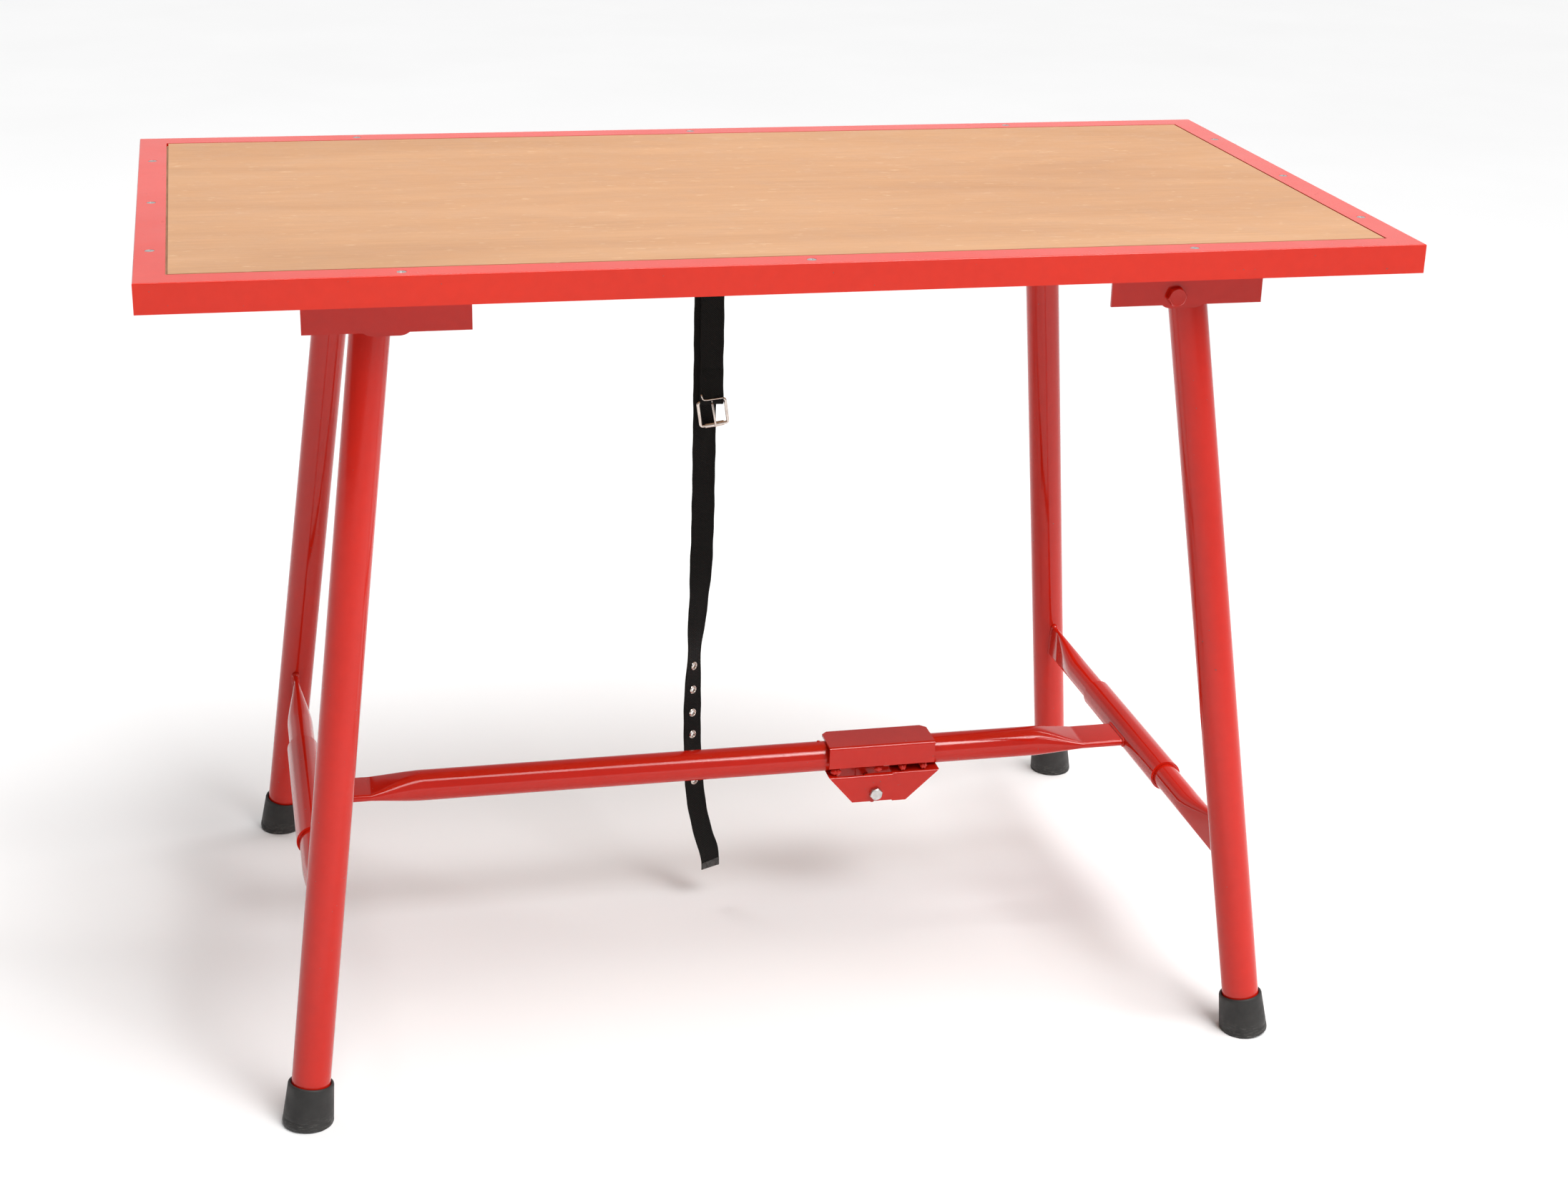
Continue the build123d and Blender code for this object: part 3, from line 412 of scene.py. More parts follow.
def veneer(name):
    """Light peeled veneer: long grain along X, short pores, soft broad figure and handling marks."""
    material, tree, shader, coords = start_material(name)
    figure = noise(tree, stretched(tree, coords, (0.9, 5.0, 5.0)), 1.6, 4.0, 0.55, 0.8)
    grain = noise(tree, stretched(tree, coords, (5.0, 150.0, 150.0)), 2.0, 6.0, 0.62, 0.25)
    pores = noise(tree, stretched(tree, coords, (26.0, 620.0, 620.0)), 2.0, 2.0, 0.5)
    tone = ramp(tree, figure, [
        (0.28, (0.455, 0.228, 0.105)),
        (0.50, (0.505, 0.262, 0.124)),
        (0.74, (0.555, 0.300, 0.150)),
    ])
    streak = span(tree, grain, 0.28, 0.74, 0.90, 1.07)
    colour = mix(tree, 1.0, tone, streak, "MULTIPLY")
    pore = span(tree, pores, 0.64, 0.72)
    colour = mix(tree, times(tree, pore, 0.30), colour, (0.34, 0.17, 0.08))
    flake = span(tree, noise(tree, stretched(tree, coords, (60.0, 210.0, 210.0)), 1.0, 2.0), 0.66, 0.74)
    colour = mix(tree, times(tree, flake, 0.28), colour, (0.83, 0.60, 0.38))
    stain = span(tree, noise(tree, coords, 5.5, 4.0, 0.6), 0.55, 0.75)
    colour = mix(tree, times(tree, stain, 0.16), colour, (0.52, 0.31, 0.17))
    rough = span(tree, noise(tree, coords, 30.0, 3.0), 0.3, 0.7, 0.42, 0.58)
    surface = bump(tree, grain, 0.10, 0.0004)
    surface = bump(tree, pore, 0.25, -0.00015, surface)
    join(tree, shader, colour, rough, surface)
    return material


def plywood(name):
    """Raw board seen from below: darker, drier, with a coarser figure and lighter patches."""
    material, tree, shader, coords = start_material(name)
    figure = noise(tree, stretched(tree, coords, (1.4, 9.0, 9.0)), 2.0, 5.0, 0.6, 1.3)
    grain = noise(tree, stretched(tree, coords, (7.0, 190.0, 190.0)), 2.0, 5.0, 0.65)
    tone = ramp(tree, figure, [
        (0.30, (0.34, 0.20, 0.105)),
        (0.52, (0.45, 0.28, 0.155)),
        (0.72, (0.55, 0.37, 0.22)),
    ])
    colour = mix(tree, 1.0, tone, span(tree, grain, 0.28, 0.74, 0.80, 1.12), "MULTIPLY")
    layers = noise(tree, stretched(tree, coords, (0.01, 0.01, 480.0)), 1.0, 0.0)
    colour = mix(tree, span(tree, layers, 0.42, 0.58, 0.0, 0.22), colour, (0.25, 0.14, 0.07))
    rough = span(tree, grain, 0.3, 0.7, 0.65, 0.85)
    join(tree, shader, colour, rough, bump(tree, grain, 0.25, 0.0006))
    return material


def moulded_rubber(name):
    """Black rubber: fine pitted skin, grey scuffs near the floor, dust on the lip."""
    material, tree, shader, coords = start_material(name)
    height = separate(tree, coords)[2]
    near_floor = span(tree, height, 0.0, 0.018, 1.0, 0.0)
    scuff = span(tree, noise(tree, stretched(tree, coords, (1.0, 1.0, 4.0)), 160.0, 5.0, 0.7), 0.50, 0.66)
    worn = times(tree, near_floor, scuff)
    dusty = span(tree, noise(tree, coords, 45.0, 4.0), 0.45, 0.75, 0.0, 0.55)
    colour = mix(tree, dusty, (0.017, 0.016, 0.015), (0.034, 0.031, 0.028))
    colour = mix(tree, worn, colour, (0.10, 0.094, 0.085))
    rough = span(tree, noise(tree, coords, 80.0, 3.0), 0.3, 0.7, 0.48, 0.68)
    surface = bump(tree, noise(tree, coords, 1500.0, 2.0), 0.22, 0.0002)
    surface = bump(tree, noise(tree, coords, 70.0, 3.0), 0.15, 0.0006, surface)
    join(tree, shader, colour, rough, surface)
    return material


def webbing_weave(name):
    """Black polypropylene webbing: rows of slanted ribs with painted shade in the grooves between them, paler
    fuzz and rubbed patches.
    """
    material, tree, shader, coords = start_material(name)
    rib_pitch, cord_pitch = 2.1 * MM, 1.6 * MM
    x, _, z = separate(tree, coords)[:3]
    lean = times(tree, x, 0.9)
    slope = math_node(tree, "ADD", z, lean)
    slant = math_node(tree, "SINE", times(tree, slope, math.tau / rib_pitch))
    cords = math_node(tree, "SINE", times(tree, x, math.tau / cord_pitch))
    weave = times(tree, math_node(tree, "ADD", slant, 1.0), math_node(tree, "ADD", cords, 1.4))
    fuzz = noise(tree, coords, 1900.0, 2.0, 0.6)
    # Painted shade: the weave's grooves are coloured darker than its ribs, following the same height as the
    # bump
    painted_groove_shade = span(tree, weave, 0.0, 4.0, 0.0, 1.0)
    colour = mix(tree, painted_groove_shade, (0.0022, 0.0019, 0.0015), (0.0062, 0.0052, 0.0041))
    wear = span(tree, noise(tree, stretched(tree, coords, (8.0, 8.0, 1.5)), 9.0, 4.0), 0.5, 0.75, 0.0, 0.45)
    colour = mix(tree, times(tree, wear, fuzz), colour, (0.024, 0.021, 0.017))
    rough = span(tree, fuzz, 0.3, 0.7, 0.55, 0.75)
    surface = bump(tree, weave, 0.55, 0.00035)
    surface = bump(tree, fuzz, 0.25, 0.0002, surface)
    join(tree, shader, colour, rough, surface)
    shader.inputs["Specular IOR Level"].default_value = 0.18
    return material


def sealed_webbing(name):
    """End of the strap sealed with lacquer: smoother and shinier, with the weave showing faintly."""
    material, tree, shader, coords = start_material(name)
    smear = span(tree, noise(tree, coords, 220.0, 3.0), 0.35, 0.70)
    colour = mix(tree, smear, (0.022, 0.020, 0.018), (0.052, 0.049, 0.045))
    rough = span(tree, smear, 0.0, 1.0, 0.22, 0.40)
    weave = noise(tree, stretched(tree, coords, (700.0, 700.0, 300.0)), 1.0, 2.0)
    join(tree, shader, colour, rough, bump(tree, weave, 0.35, 0.0003))
    return material


def plated_metal(name, bright, dull, rough_low, rough_high, tarnish):
    """Plated steel: fine draw lines, slight tarnish in the hollows, small pits."""
    material, tree, shader, coords = start_material(name)
    cloud = span(tree, noise(tree, coords, 180.0, 4.0, 0.6), 0.35, 0.72)
    colour = mix(tree, cloud, bright, dull)
    spots = span(tree, noise(tree, coords, 700.0, 3.0), 0.66, 0.74)
    colour = mix(tree, times(tree, spots, 0.5), colour, tarnish)
    shader.inputs["Metallic"].default_value = 1.0
    rough = span(tree, cloud, 0.0, 1.0, rough_low, rough_high)
    lines = noise(tree, stretched(tree, coords, (3000.0, 300.0, 300.0)), 1.0, 2.0)
    surface = bump(tree, lines, 0.06, 0.0001)
    surface = bump(tree, spots, 0.25, -0.00008, surface)
    join(tree, shader, colour, rough, surface)
    return material


rim_paint = red_enamel("rim_enamel", (0.66, 0.020, 0.004), (0.60, 0.017, 0.004), 0.16)
frame_paint = red_enamel("frame_enamel", (0.60, 0.014, 0.005), (0.52, 0.012, 0.004), 0.07)
wood_panel = veneer("panel_veneer")
core_wood = plywood("core_plywood")
foot_rubber = moulded_rubber("foot_rubber")
webbing = webbing_weave("strap_webbing")
nickel = plated_metal("nickel_plate", (0.72, 0.64, 0.58), (0.58, 0.50, 0.45), 0.16, 0.30, (0.25, 0.18, 0.13))
sealed_tip = sealed_webbing("strap_tip")
zinc = plated_metal("zinc_plate", (0.66, 0.66, 0.65), (0.50, 0.50, 0.48), 0.26, 0.45, (0.24, 0.22, 0.19))

MATERIAL_OF_SLOT = {
    "rim_paint": rim_paint,
    "frame_paint": frame_paint,
    "wood_panel": wood_panel,
    "core_plywood": core_wood,
    "foot_rubber": foot_rubber,
    "webbing": webbing,
    "nickel": nickel,
    "zinc_steel": zinc,
}
for subpart in record["subparts"]:
    shown = frame["nodes"][subpart["node"]]
    shown.data.materials.clear()
    shown.data.materials.append(MATERIAL_OF_SLOT[subpart["material_slot"]])


# ---------------------------------------------------------------- legs and feet

def leg_ends(side, end):
    foot = Vector((side * FOOT.x, end * FOOT.y, FOOT.z))
    top = Vector((side * LEG_TOP.x, end * LEG_TOP.y, LEG_TOP.z))
    return foot, (top - foot).normalized()


def rubber_foot(side_name, end_name):
    """Flared cup with a rounded sole, a shoulder line and an open rounded lip round the tube."""
    name = f"{side_name}_{end_name}_foot"
    foot, up = leg_ends(SIDES[side_name], ENDS[end_name])
    inner = TUBE_RADIUS + 0.1 * MM
    profile = [(-2.5, 0.0), (-2.5, 21.5), (-2.2, 23.4), (-1.2, 24.6), (0.6, 25.0), (3.0, 24.95)]
    profile += [(5.0, 24.75), (5.6, 24.35), (6.4, 24.3), (7.0, 24.6)]
    for i in range(1, 9):
        profile.append((7.0 + 30.5 * i / 8, 24.6 - 2.1 * i / 8))
    profile += [(39.6, 22.4), (40.8, 22.0), (41.4, 21.3), (41.5, 20.6), (41.2, 19.9), (40.4, 19.35)]
    scaled = [(h * MM, r * MM) for h, r in profile]
    scaled += [(39.0 * MM, inner), (20.0 * MM, inner), (20.0 * MM, 0.0)]
    verts, faces = lathe(scaled, foot, up, segments=96)
    verts = [Vector((v.x, v.y, max(v.z, 0.0))) for v in verts]
    piece = new_piece(
        f"{side_name}_{end_name}_rubber_cup", verts, faces, foot_rubber, f"{side_name}_legs",
        replaces=[name],
    )
    sharpen(outward(piece), 50)


for side_name in SIDES:
    for end_name in ENDS:
        rubber_foot(side_name, end_name)


# ---------------------------------------------------------------- pressed tubes

def stadium(flatness, radius, flat_half, flat_thin, segments=72):
    """Section of a round tube pressed flat: 0 is round, 1 is fully pressed. (long, thin) pairs."""
    thin = radius * (1 - flatness) + flat_thin * flatness
    straight = (flat_half - flat_thin) * flatness
    points = []
    for k in range(segments):
        turn = 2 * math.pi * (k + 0.5) / segments
        shift = straight if math.cos(turn) > 0 else -straight
        points.append((shift + thin * math.cos(turn), thin * math.sin(turn)))
    return points


def crossbar_section(flatness, segments=72):
    return stadium(flatness, CROSSBAR_RADIUS, CROSSBAR_FLAT_HALF, CROSSBAR_FLAT_THIN, segments)


def stretcher_section(flatness, segments=72):
    return stadium(flatness, STRETCHER_RADIUS, STRETCHER_FLAT_HALF, STRETCHER_FLAT_THIN, segments)


def ease(share):
    share = min(max(share, 0.0), 1.0)
    return share * share * (3 - 2 * share)


def pressed_share(distance, round_end, flat_start, nip_depth=0.03):
    """Flatness at a distance along the tube, with a slight nip where the press closed it."""
    share = (distance - round_end) / (flat_start - round_end)
    flat = 0.45 * ease(share) + 0.55 * min(max(share, 0.0), 1.0) ** 1.4
    nip = math.exp(-((distance - flat_start) / (3.2 * MM)) ** 2)
    return min(flat + nip_depth * nip, 1.02)


def press_stations(round_end, flat_start, steps=36):
    """Distances along the tube at which its section is drawn, close together in the pressed part."""
    reach = flat_start + 6.0 * MM
    return [round_end + (reach - round_end) * i / steps for i in range(steps + 1)]


def crossbar(side_name):
    """Crossbar of one pair of legs, pressed upright at both ends and let into the leg tubes."""
    side = SIDES[side_name]
    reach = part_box(f"{side_name}_crossbar")[1][1] + 1.0 * MM
    round_end, flat_start = 178.0 * MM, 258.0 * MM
    stations = [0.0, 0.08, 0.13, round_end - 2.0 * MM]
    stations += press_stations(round_end, flat_start) + [reach]
    stations = [-s for s in reversed(stations[1:])] + stations
    rings = []
    for y in stations:
        flat = pressed_share(abs(y), round_end, flat_start)
        rings.append([
            Vector((side * BAR_X + thin, y, BAR_Z + long)) for long, thin in crossbar_section(flat)
        ])
    verts, faces = skin_rings(rings)
    piece = new_piece(
        f"{side_name}_pressed_crossbar", verts, faces, frame_paint, f"{side_name}_legs",
        replaces=[f"{side_name}_crossbar"],
    )
    sharpen(outward(piece), 60)


def stretcher(side_name, inner_end, wall):
    """Half of the stretcher, pressed level at its outer end and open at the joint."""
    side = SIDES[side_name]
    reach = BAR_X - SLEEVE_RADIUS + 2.2 * MM
    round_end, flat_start = 343.0 * MM, 400.0 * MM
    start = side * inner_end
    stations = [start, start + (round_end - start) * 0.5, round_end - 2.0 * MM]
    stations += press_stations(round_end, flat_start) + [reach]
    rings = []
    bore_share = (STRETCHER_RADIUS - wall) / STRETCHER_RADIUS
    bore = [(long * bore_share, thin * bore_share) for long, thin in stretcher_section(0.0)]
    rings.append([Vector((inner_end + side * 30 * MM, long, BAR_Z + thin)) for long, thin in bore])
    rings.append([Vector((inner_end, long, BAR_Z + thin)) for long, thin in bore])
    for s in stations:
        flat = pressed_share(s, round_end, flat_start)
        rings.append([Vector((side * s, long, BAR_Z + thin)) for long, thin in stretcher_section(flat)])
    verts, faces = skin_rings(rings)
    piece = new_piece(
        f"{side_name}_pressed_stretcher", verts, faces, frame_paint, f"{side_name}_brace",
        replaces=[f"{side_name}_stretcher"],
    )
    sharpen(outward(piece), 60)


LEFT_TUBE_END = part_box("left_stretcher")[1][0]
RIGHT_TUBE_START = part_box("right_stretcher")[0][0]
for side_name in SIDES:
    crossbar(side_name)
stretcher("left", LEFT_TUBE_END, 2.0 * MM)
stretcher("right", RIGHT_TUBE_START, 2.0 * MM)


# ---------------------------------------------------------------- welds

def crossbar_weld(side_name, end_name, seed):
    """Weld round the pressed end of a crossbar where it meets its leg."""
    side, end = SIDES[side_name], ENDS[end_name]
    foot, up = leg_ends(side, end)
    points = []
    for long, thin in crossbar_section(1.0, segments=48):
        x, z = side * BAR_X + thin, BAR_Z + long
        share = (z - foot.z) / up.z
        axis = foot + up * share
        gap = min(abs(x - axis.x), TUBE_RADIUS * 0.98)
        y = abs(axis.y) - math.sqrt(TUBE_RADIUS ** 2 - gap ** 2) - 0.4 * MM
        points.append(Vector((x, end * y, z)))
    weld_bead(f"{side_name}_{end_name}_crossbar_weld", points, 1.7 * MM, f"{side_name}_legs", seed, loop=True)
    top = Vector((side * BAR_X, points[0].y, BAR_Z + CROSSBAR_FLAT_HALF))
    drop(
        f"{side_name}_{end_name}_crossbar_tack", top + Vector((0, -end * 1.0 * MM, -1.2 * MM)),
        Vector((0, -end * 0.35, 1)), 4.4 * MM, 3.4 * MM, f"{side_name}_legs",
    )


def sleeve_weld(side_name, seed):
    """Weld round the pressed end of a stretcher half where it meets its sleeve."""
    side = SIDES[side_name]
    points = []
    for long, thin in stretcher_section(1.0, segments=48):
        x = BAR_X - math.sqrt(SLEEVE_RADIUS ** 2 - thin ** 2) - 0.3 * MM
        points.append(Vector((side * x, long, BAR_Z + thin)))
    weld_bead(f"{side_name}_sleeve_weld", points, 1.7 * MM, f"{side_name}_brace", seed, loop=True)


def ear_weld(side_name, end_name, seed):
    """Run of weld along the leg tube beside its hinge ear."""
    side, end = SIDES[side_name], ENDS[end_name]
    foot, up = leg_ends(side, end)
    points = []
    for i in range(9):
        z = HINGE_Z - 13.0 * MM + 26.0 * MM * i / 8
        axis = foot + up * ((z - foot.z) / up.z)
        points.append(axis + Vector((-side * 11.0 * MM, end * 16.4 * MM, 0)))
    weld_bead(f"{side_name}_{end_name}_ear_weld", points, 1.9 * MM, f"{side_name}_legs", seed)


for number, side_name in enumerate(SIDES):
    sleeve_weld(side_name, 40 + number)
    for place, end_name in enumerate(ENDS):
        crossbar_weld(side_name, end_name, 10 + 2 * number + place)
        ear_weld(side_name, end_name, 20 + 2 * number + place)

cover_low, cover_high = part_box("hinge_cover")
outer_low, outer_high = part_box("outer_channel")
inner_low, inner_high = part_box("inner_channel")


def tube_arc(x, angle_from, angle_to, radius, steps=18):
    """Points round the stretcher at one place, angles from straight up, towards the front."""
    points = []
    for i in range(steps + 1):
        turn = math.radians(angle_from + (angle_to - angle_from) * i / steps)
        points.append(Vector((x, -radius * math.sin(turn), BAR_Z + radius * math.cos(turn))))
    return points


def joint_welds():
    """Welds of the cover and the channels of the stretcher's joint; their places are judged."""
    weld_bead("cover_end_weld", tube_arc(cover_high[0] + 0.2 * MM, -38, 38, STRETCHER_RADIUS + 0.7 * MM),
              1.3 * MM, "right_brace", 51)
    for number, (name, x_from, x_to, body) in enumerate((
        ("outer_channel_weld", 0.110, 0.119, "left_brace"),
        ("inner_channel_weld_a", 0.186, 0.196, "right_brace"),
        ("inner_channel_weld_b", 0.210, 0.219, "right_brace"),
    )):
        for face, sign in ENDS.items():
            y = sign * 12.5 * MM
            z = BAR_Z - math.sqrt(STRETCHER_RADIUS ** 2 - y ** 2) - 1.0 * MM
            points = [Vector((x_from + (x_to - x_from) * i / 6, y, z)) for i in range(7)]
            weld_bead(f"{name}_{face}", points, 3.4 * MM, body, 60 + 2 * number + (sign > 0))
    gap_z = (cover_low[2] + outer_high[2]) / 2
    for number, (x, length, body) in enumerate((
        (0.113, 12.0, "left_brace"), (0.161, 9.0, "right_brace"),
        (0.190, 8.0, "right_brace"), (0.214, 8.0, "right_brace"),
    )):
        for face, sign in ENDS.items():
            y = sign * (inner_high[1] - 3.2 * MM)
            points = [Vector((x + length * MM * (i / 5 - 0.5), y, gap_z - 0.8 * MM)) for i in range(6)]
            weld_bead(f"gap_weld_{number + 1}_{face}", points, 3.6 * MM, body, 80 + 2 * number + (sign > 0))
    spatter_turn = math.radians(11)
    spot = Vector((cover_low[0] - 7.0 * MM, STRETCHER_RADIUS * math.sin(spatter_turn),
                   BAR_Z + STRETCHER_RADIUS * math.cos(spatter_turn)))
    drop("tube_spatter", spot, Vector((0, 0.2, 1)), 2.0 * MM, 1.2 * MM, "left_brace")


def hook_closer():
    """Lips that hide the CAD's open notch, so the joint looks closed at rest.

    They are looks only: when the joint opens, the bolt passes through them.
    """
    lip_length, lip_height, lip_sheet, proud = 11.0 * MM, 7.0 * MM, 2.5 * MM, 0.05 * MM
    side_y = inner_high[1]
    left = outer_high[0] + 0.3 * MM
    low_z = inner_low[2]
    corners = [(left, low_z), (left + lip_length, low_z), (left, low_z + lip_height)]
    for name, sign in ENDS.items():
        near = [Vector((x, sign * (side_y + proud), z)) for x, z in corners]
        far = [Vector((x, sign * (side_y - lip_sheet), z)) for x, z in corners]
        verts, faces = skin_rings([near, far])
        piece = new_piece(f"inner_channel_lip_{name}", verts, faces, frame_paint, "right_brace",
                          smooth=False)
        outward(piece)


hook_closer()
joint_welds()


# ---------------------------------------------------------------- bolts

def joint_fasteners():
    """Zinc-plated bolt and nut of the stretcher's joint."""
    bolt_low, bolt_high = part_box("joint_bolt")
    centre_x = (bolt_low[0] + bolt_high[0]) / 2
    centre_z = (bolt_low[2] + bolt_high[2]) / 2
    face = outer_low[1]
    rounded_hexagon(
        "joint_bolt_head", Vector((centre_x, face, centre_z)), Vector((0, -1, 0)),
        13.0 * MM, face - bolt_low[1], zinc, "left_brace", turn=math.radians(14),
    )
    nut_low, nut_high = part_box("joint_nut")
    rounded_hexagon(
        "joint_lock_nut", Vector((centre_x, nut_low[1], centre_z)), Vector((0, 1, 0)),
        13.0 * MM, nut_high[1] - nut_low[1], zinc, "left_brace",
        replaces=["joint_nut"], turn=math.radians(38),
    )
    shank = [
        (0.0, 0.0), (0.0, 3.95 * MM), (bolt_high[1] - face - 1.0 * MM, 3.95 * MM),
        (bolt_high[1] - face, 3.2 * MM), (bolt_high[1] - face, 0.0),
    ]
    verts, faces = lathe(shank, Vector((centre_x, face, centre_z)), Vector((0, 1, 0)), segments=48)
    piece = new_piece("joint_bolt_shank", verts, faces, zinc, "left_brace",
                      replaces=["joint_bolt"])
    sharpen(outward(piece), 35)


def leg_bolts():
    """Hinge bolts of the legs: painted heads on the right, blind ends on the left."""
    bracket_flange = 26.0 * MM      # from a bracket's outer edge in to the face under the bolt's head
    nut_inner = 241.4 * MM
    past_nut = 1.5 * MM
    face = abs(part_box("right_front_bracket")[0][1] + bracket_flange)
    for side_name, side in SIDES.items():
        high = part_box(f"{side_name}_pivot_bolts")[1]
        outer = face if side > 0 else high[1]
        for end_name, end in ENDS.items():
            if side > 0:
                rounded_hexagon(
                    f"right_{end_name}_bolt_head", Vector((HINGE_X, end * face, HINGE_Z)),
                    Vector((0, end, 0)), 17.0 * MM, high[1] - face, frame_paint, "top",
                    turn=math.radians(9),
                )
            length = outer - nut_inner + past_nut
            shank = [
                (0.0, 0.0), (0.0, 4.2 * MM), (0.8 * MM, 4.95 * MM),
                (length - 0.6 * MM, 4.95 * MM), (length, 4.4 * MM), (length, 0.0),
            ]
            start = Vector((side * HINGE_X, end * (nut_inner - past_nut), HINGE_Z))
            verts, faces = lathe(shank, start, Vector((0, end, 0)), segments=48)
            piece = new_piece(
                f"{side_name}_{end_name}_hinge_bolt", verts, faces, frame_paint, "top",
                replaces=[f"{side_name}_pivot_bolts"] if end < 0 else (),
            )
            sharpen(outward(piece), 35)


joint_fasteners()
leg_bolts()


# ---------------------------------------------------------------- rim screws

def rim_screws():
    """Countersunk cross-head screws of bare plated steel, a little below the painted flange."""
    long_y = (top_high[1] + top_low[1]) / 2
    end_x = (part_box("rim_right")[0][0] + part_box("rim_right")[1][0]) / 2
    along_x, along_y = (-0.37, 0.0, 0.37), (-0.195, 0.0, 0.195)
    points = [(x, s * abs(long_y)) for s in (-1, 1) for x in along_x]
    points += [(s * end_x, y) for s in (-1, 1) for y in along_y]
    rng = random.Random(5)
    all_verts, all_faces = [], []
    segments = 48
    for x, y in points:
        turn = rng.uniform(0, math.pi / 2)
        rows = [(-3.0, 2.2), (-2.6, 2.2), (-0.45, 4.35), (-0.2, 4.4), (-0.12, 4.2), (-0.05, 3.4),
                (0.0, 2.4), (0.0, 1.9)]
        rings = []
        for h, r in rows:
            rings.append([
                Vector((x + r * MM * math.cos(t), y + r * MM * math.sin(t), TOP_Z + h * MM))
                for t in (math.tau * k / segments + turn for k in range(segments))
            ])
        for depth, reach, waist in ((-0.05, 1.9, 0.62), (-1.0, 1.5, 0.45), (-1.5, 0.7, 0.3)):
            ring = []
            for k in range(segments):
                t = math.tau * k / segments
                arm = max(abs(math.cos(2 * t)) ** 3, waist)
                r = reach * arm * MM
                ring.append(Vector((x + r * math.cos(t + turn), y + r * math.sin(t + turn),
                                    TOP_Z + depth * MM)))
            rings.append(ring)
        add_part(all_verts, all_faces, skin_rings(rings))
    piece = new_piece("rim_screw_heads", all_verts, all_faces, zinc, "top",
                      replaces=["rim_screws"])
    sharpen(outward(piece), 40)


rim_screws()


# ---------------------------------------------------------------- straps

STRAP_WIDTH = 25.0 * MM
STRAP_SHEET = 1.6 * MM
STRAP_Y = 45.0 * MM
SHORT_X = -23.0 * MM
SHORT_Y = 40.0 * MM
LONG_ROUTE = [(-29.5, 818.5), (-28.8, 520.0), (-30.5, 400.0), (-37.8, 310.0), (-38.9, 215.0),
              (-35.0, 140.0), (-24.5, 88.0), (-15.0, 62.0), (-15.3, 45.0)]
SHORT_ROUTE = [(39.8, 818.8), (39.8, 700.0), (39.8, 625.0), (36.9, 606.0), (37.4, 600.6),
               (42.6, 600.6), (43.1, 606.0), (41.5, 622.0), (41.4, 645.0)]
# How far the hanging strap has turned about its length, in degrees, at some heights
TWIST = [(0.820, 0.0), (0.430, 0.0), (0.365, 24.0), (0.308, 45.0), (0.283, 37.0), (0.245, 29.0),
         (0.215, 31.0), (0.150, 26.0), (0.040, 26.0)]
EYELET_Z = [297.0, 268.5, 240.5, 214.0, 186.0, 156.5]


def spline_points(route):
    """Points of the smooth NURBS line through a strap's route."""
    curve = bpy.data.curves.new("route", "CURVE")
    curve.dimensions = "3D"
    spline = curve.splines.new("NURBS")
    spline.points.add(len(route) - 1)
    for point, place in zip(spline.points, route):
        point.co = (place.x, place.y, place.z, 1.0)
    spline.order_u = 3
    spline.use_endpoint_u = True
    spline.resolution_u = 48
    helper = link(bpy.data.objects.new("route", curve))
    bpy.context.view_layer.update()
    mesh = bpy.data.meshes.new_from_object(helper)
    line = [v.co.copy() for v in mesh.vertices]
    bpy.data.objects.remove(helper)
    bpy.data.curves.remove(curve)
    bpy.data.meshes.remove(mesh)
    return line


def twist_at(z):
    for (z_high, turn_high), (z_low, turn_low) in zip(TWIST, TWIST[1:]):
        if z_low <= z <= z_high:
            share = ease((z_high - z) / (z_high - z_low))
            return math.radians(turn_high + (turn_low - turn_high) * share)
    return math.radians(TWIST[-1][1])


def across_at(z, twisted):
    """Direction across a strap at a height, from its left edge to its right."""
    turn = twist_at(z) if twisted else 0.0
    return Vector((math.cos(turn), math.sin(turn), 0.0))


def webbing_strip(name, line, material, replaces, half_t, half_w=STRAP_WIDTH / 2, twisted=False,
                  end_thin=1.0):
    """Woven strap along a line: soft rounded edges and a selvedge rib down each side."""
    across = [-1.0, -0.97, -0.90, -0.84, -0.78, -0.5, -0.2, 0.2, 0.5, 0.78, 0.84, 0.90, 0.97, 1.0]
    thick = [0.35, 0.80, 1.0, 0.95, 0.78, 0.80, 0.82, 0.82, 0.80, 0.78, 0.95, 1.0, 0.80, 0.35]
    rings = []
    for i, point in enumerate(line):
        before = line[max(i - 1, 0)]
        after = line[min(i + 1, len(line) - 1)]
        along = (after - before).normalized()
        side = across_at(point.z, twisted)
        side = (side - along * side.dot(along)).normalized()
        out = along.cross(side).normalized()
        share = min(1.0, (len(line) - 1 - i) / 4.0 + end_thin)
        width = half_w * (1 + 0.014 * math.sin(point.z * 210) + 0.012 * math.sin(point.z * 93 + 1.0))
        ring = [point + side * (a * width) + out * (t * half_t * share) for a, t in zip(across, thick)]
        ring += [point + side * (a * width) - out * (t * half_t * share)
                 for a, t in zip(reversed(across), reversed(thick))]
        rings.append(ring)
    verts, faces = skin_rings(rings)
    piece = new_piece(name, verts, faces, material, "top", replaces=replaces)
    return sharpen(outward(piece), 60)


def line_at_height(line, z):
    """Point of a falling line at a height."""
    for a, b in zip(line, line[1:]):
        if b.z <= z <= a.z:
            return a.lerp(b, (a.z - z) / (a.z - b.z))
    return line[-1]


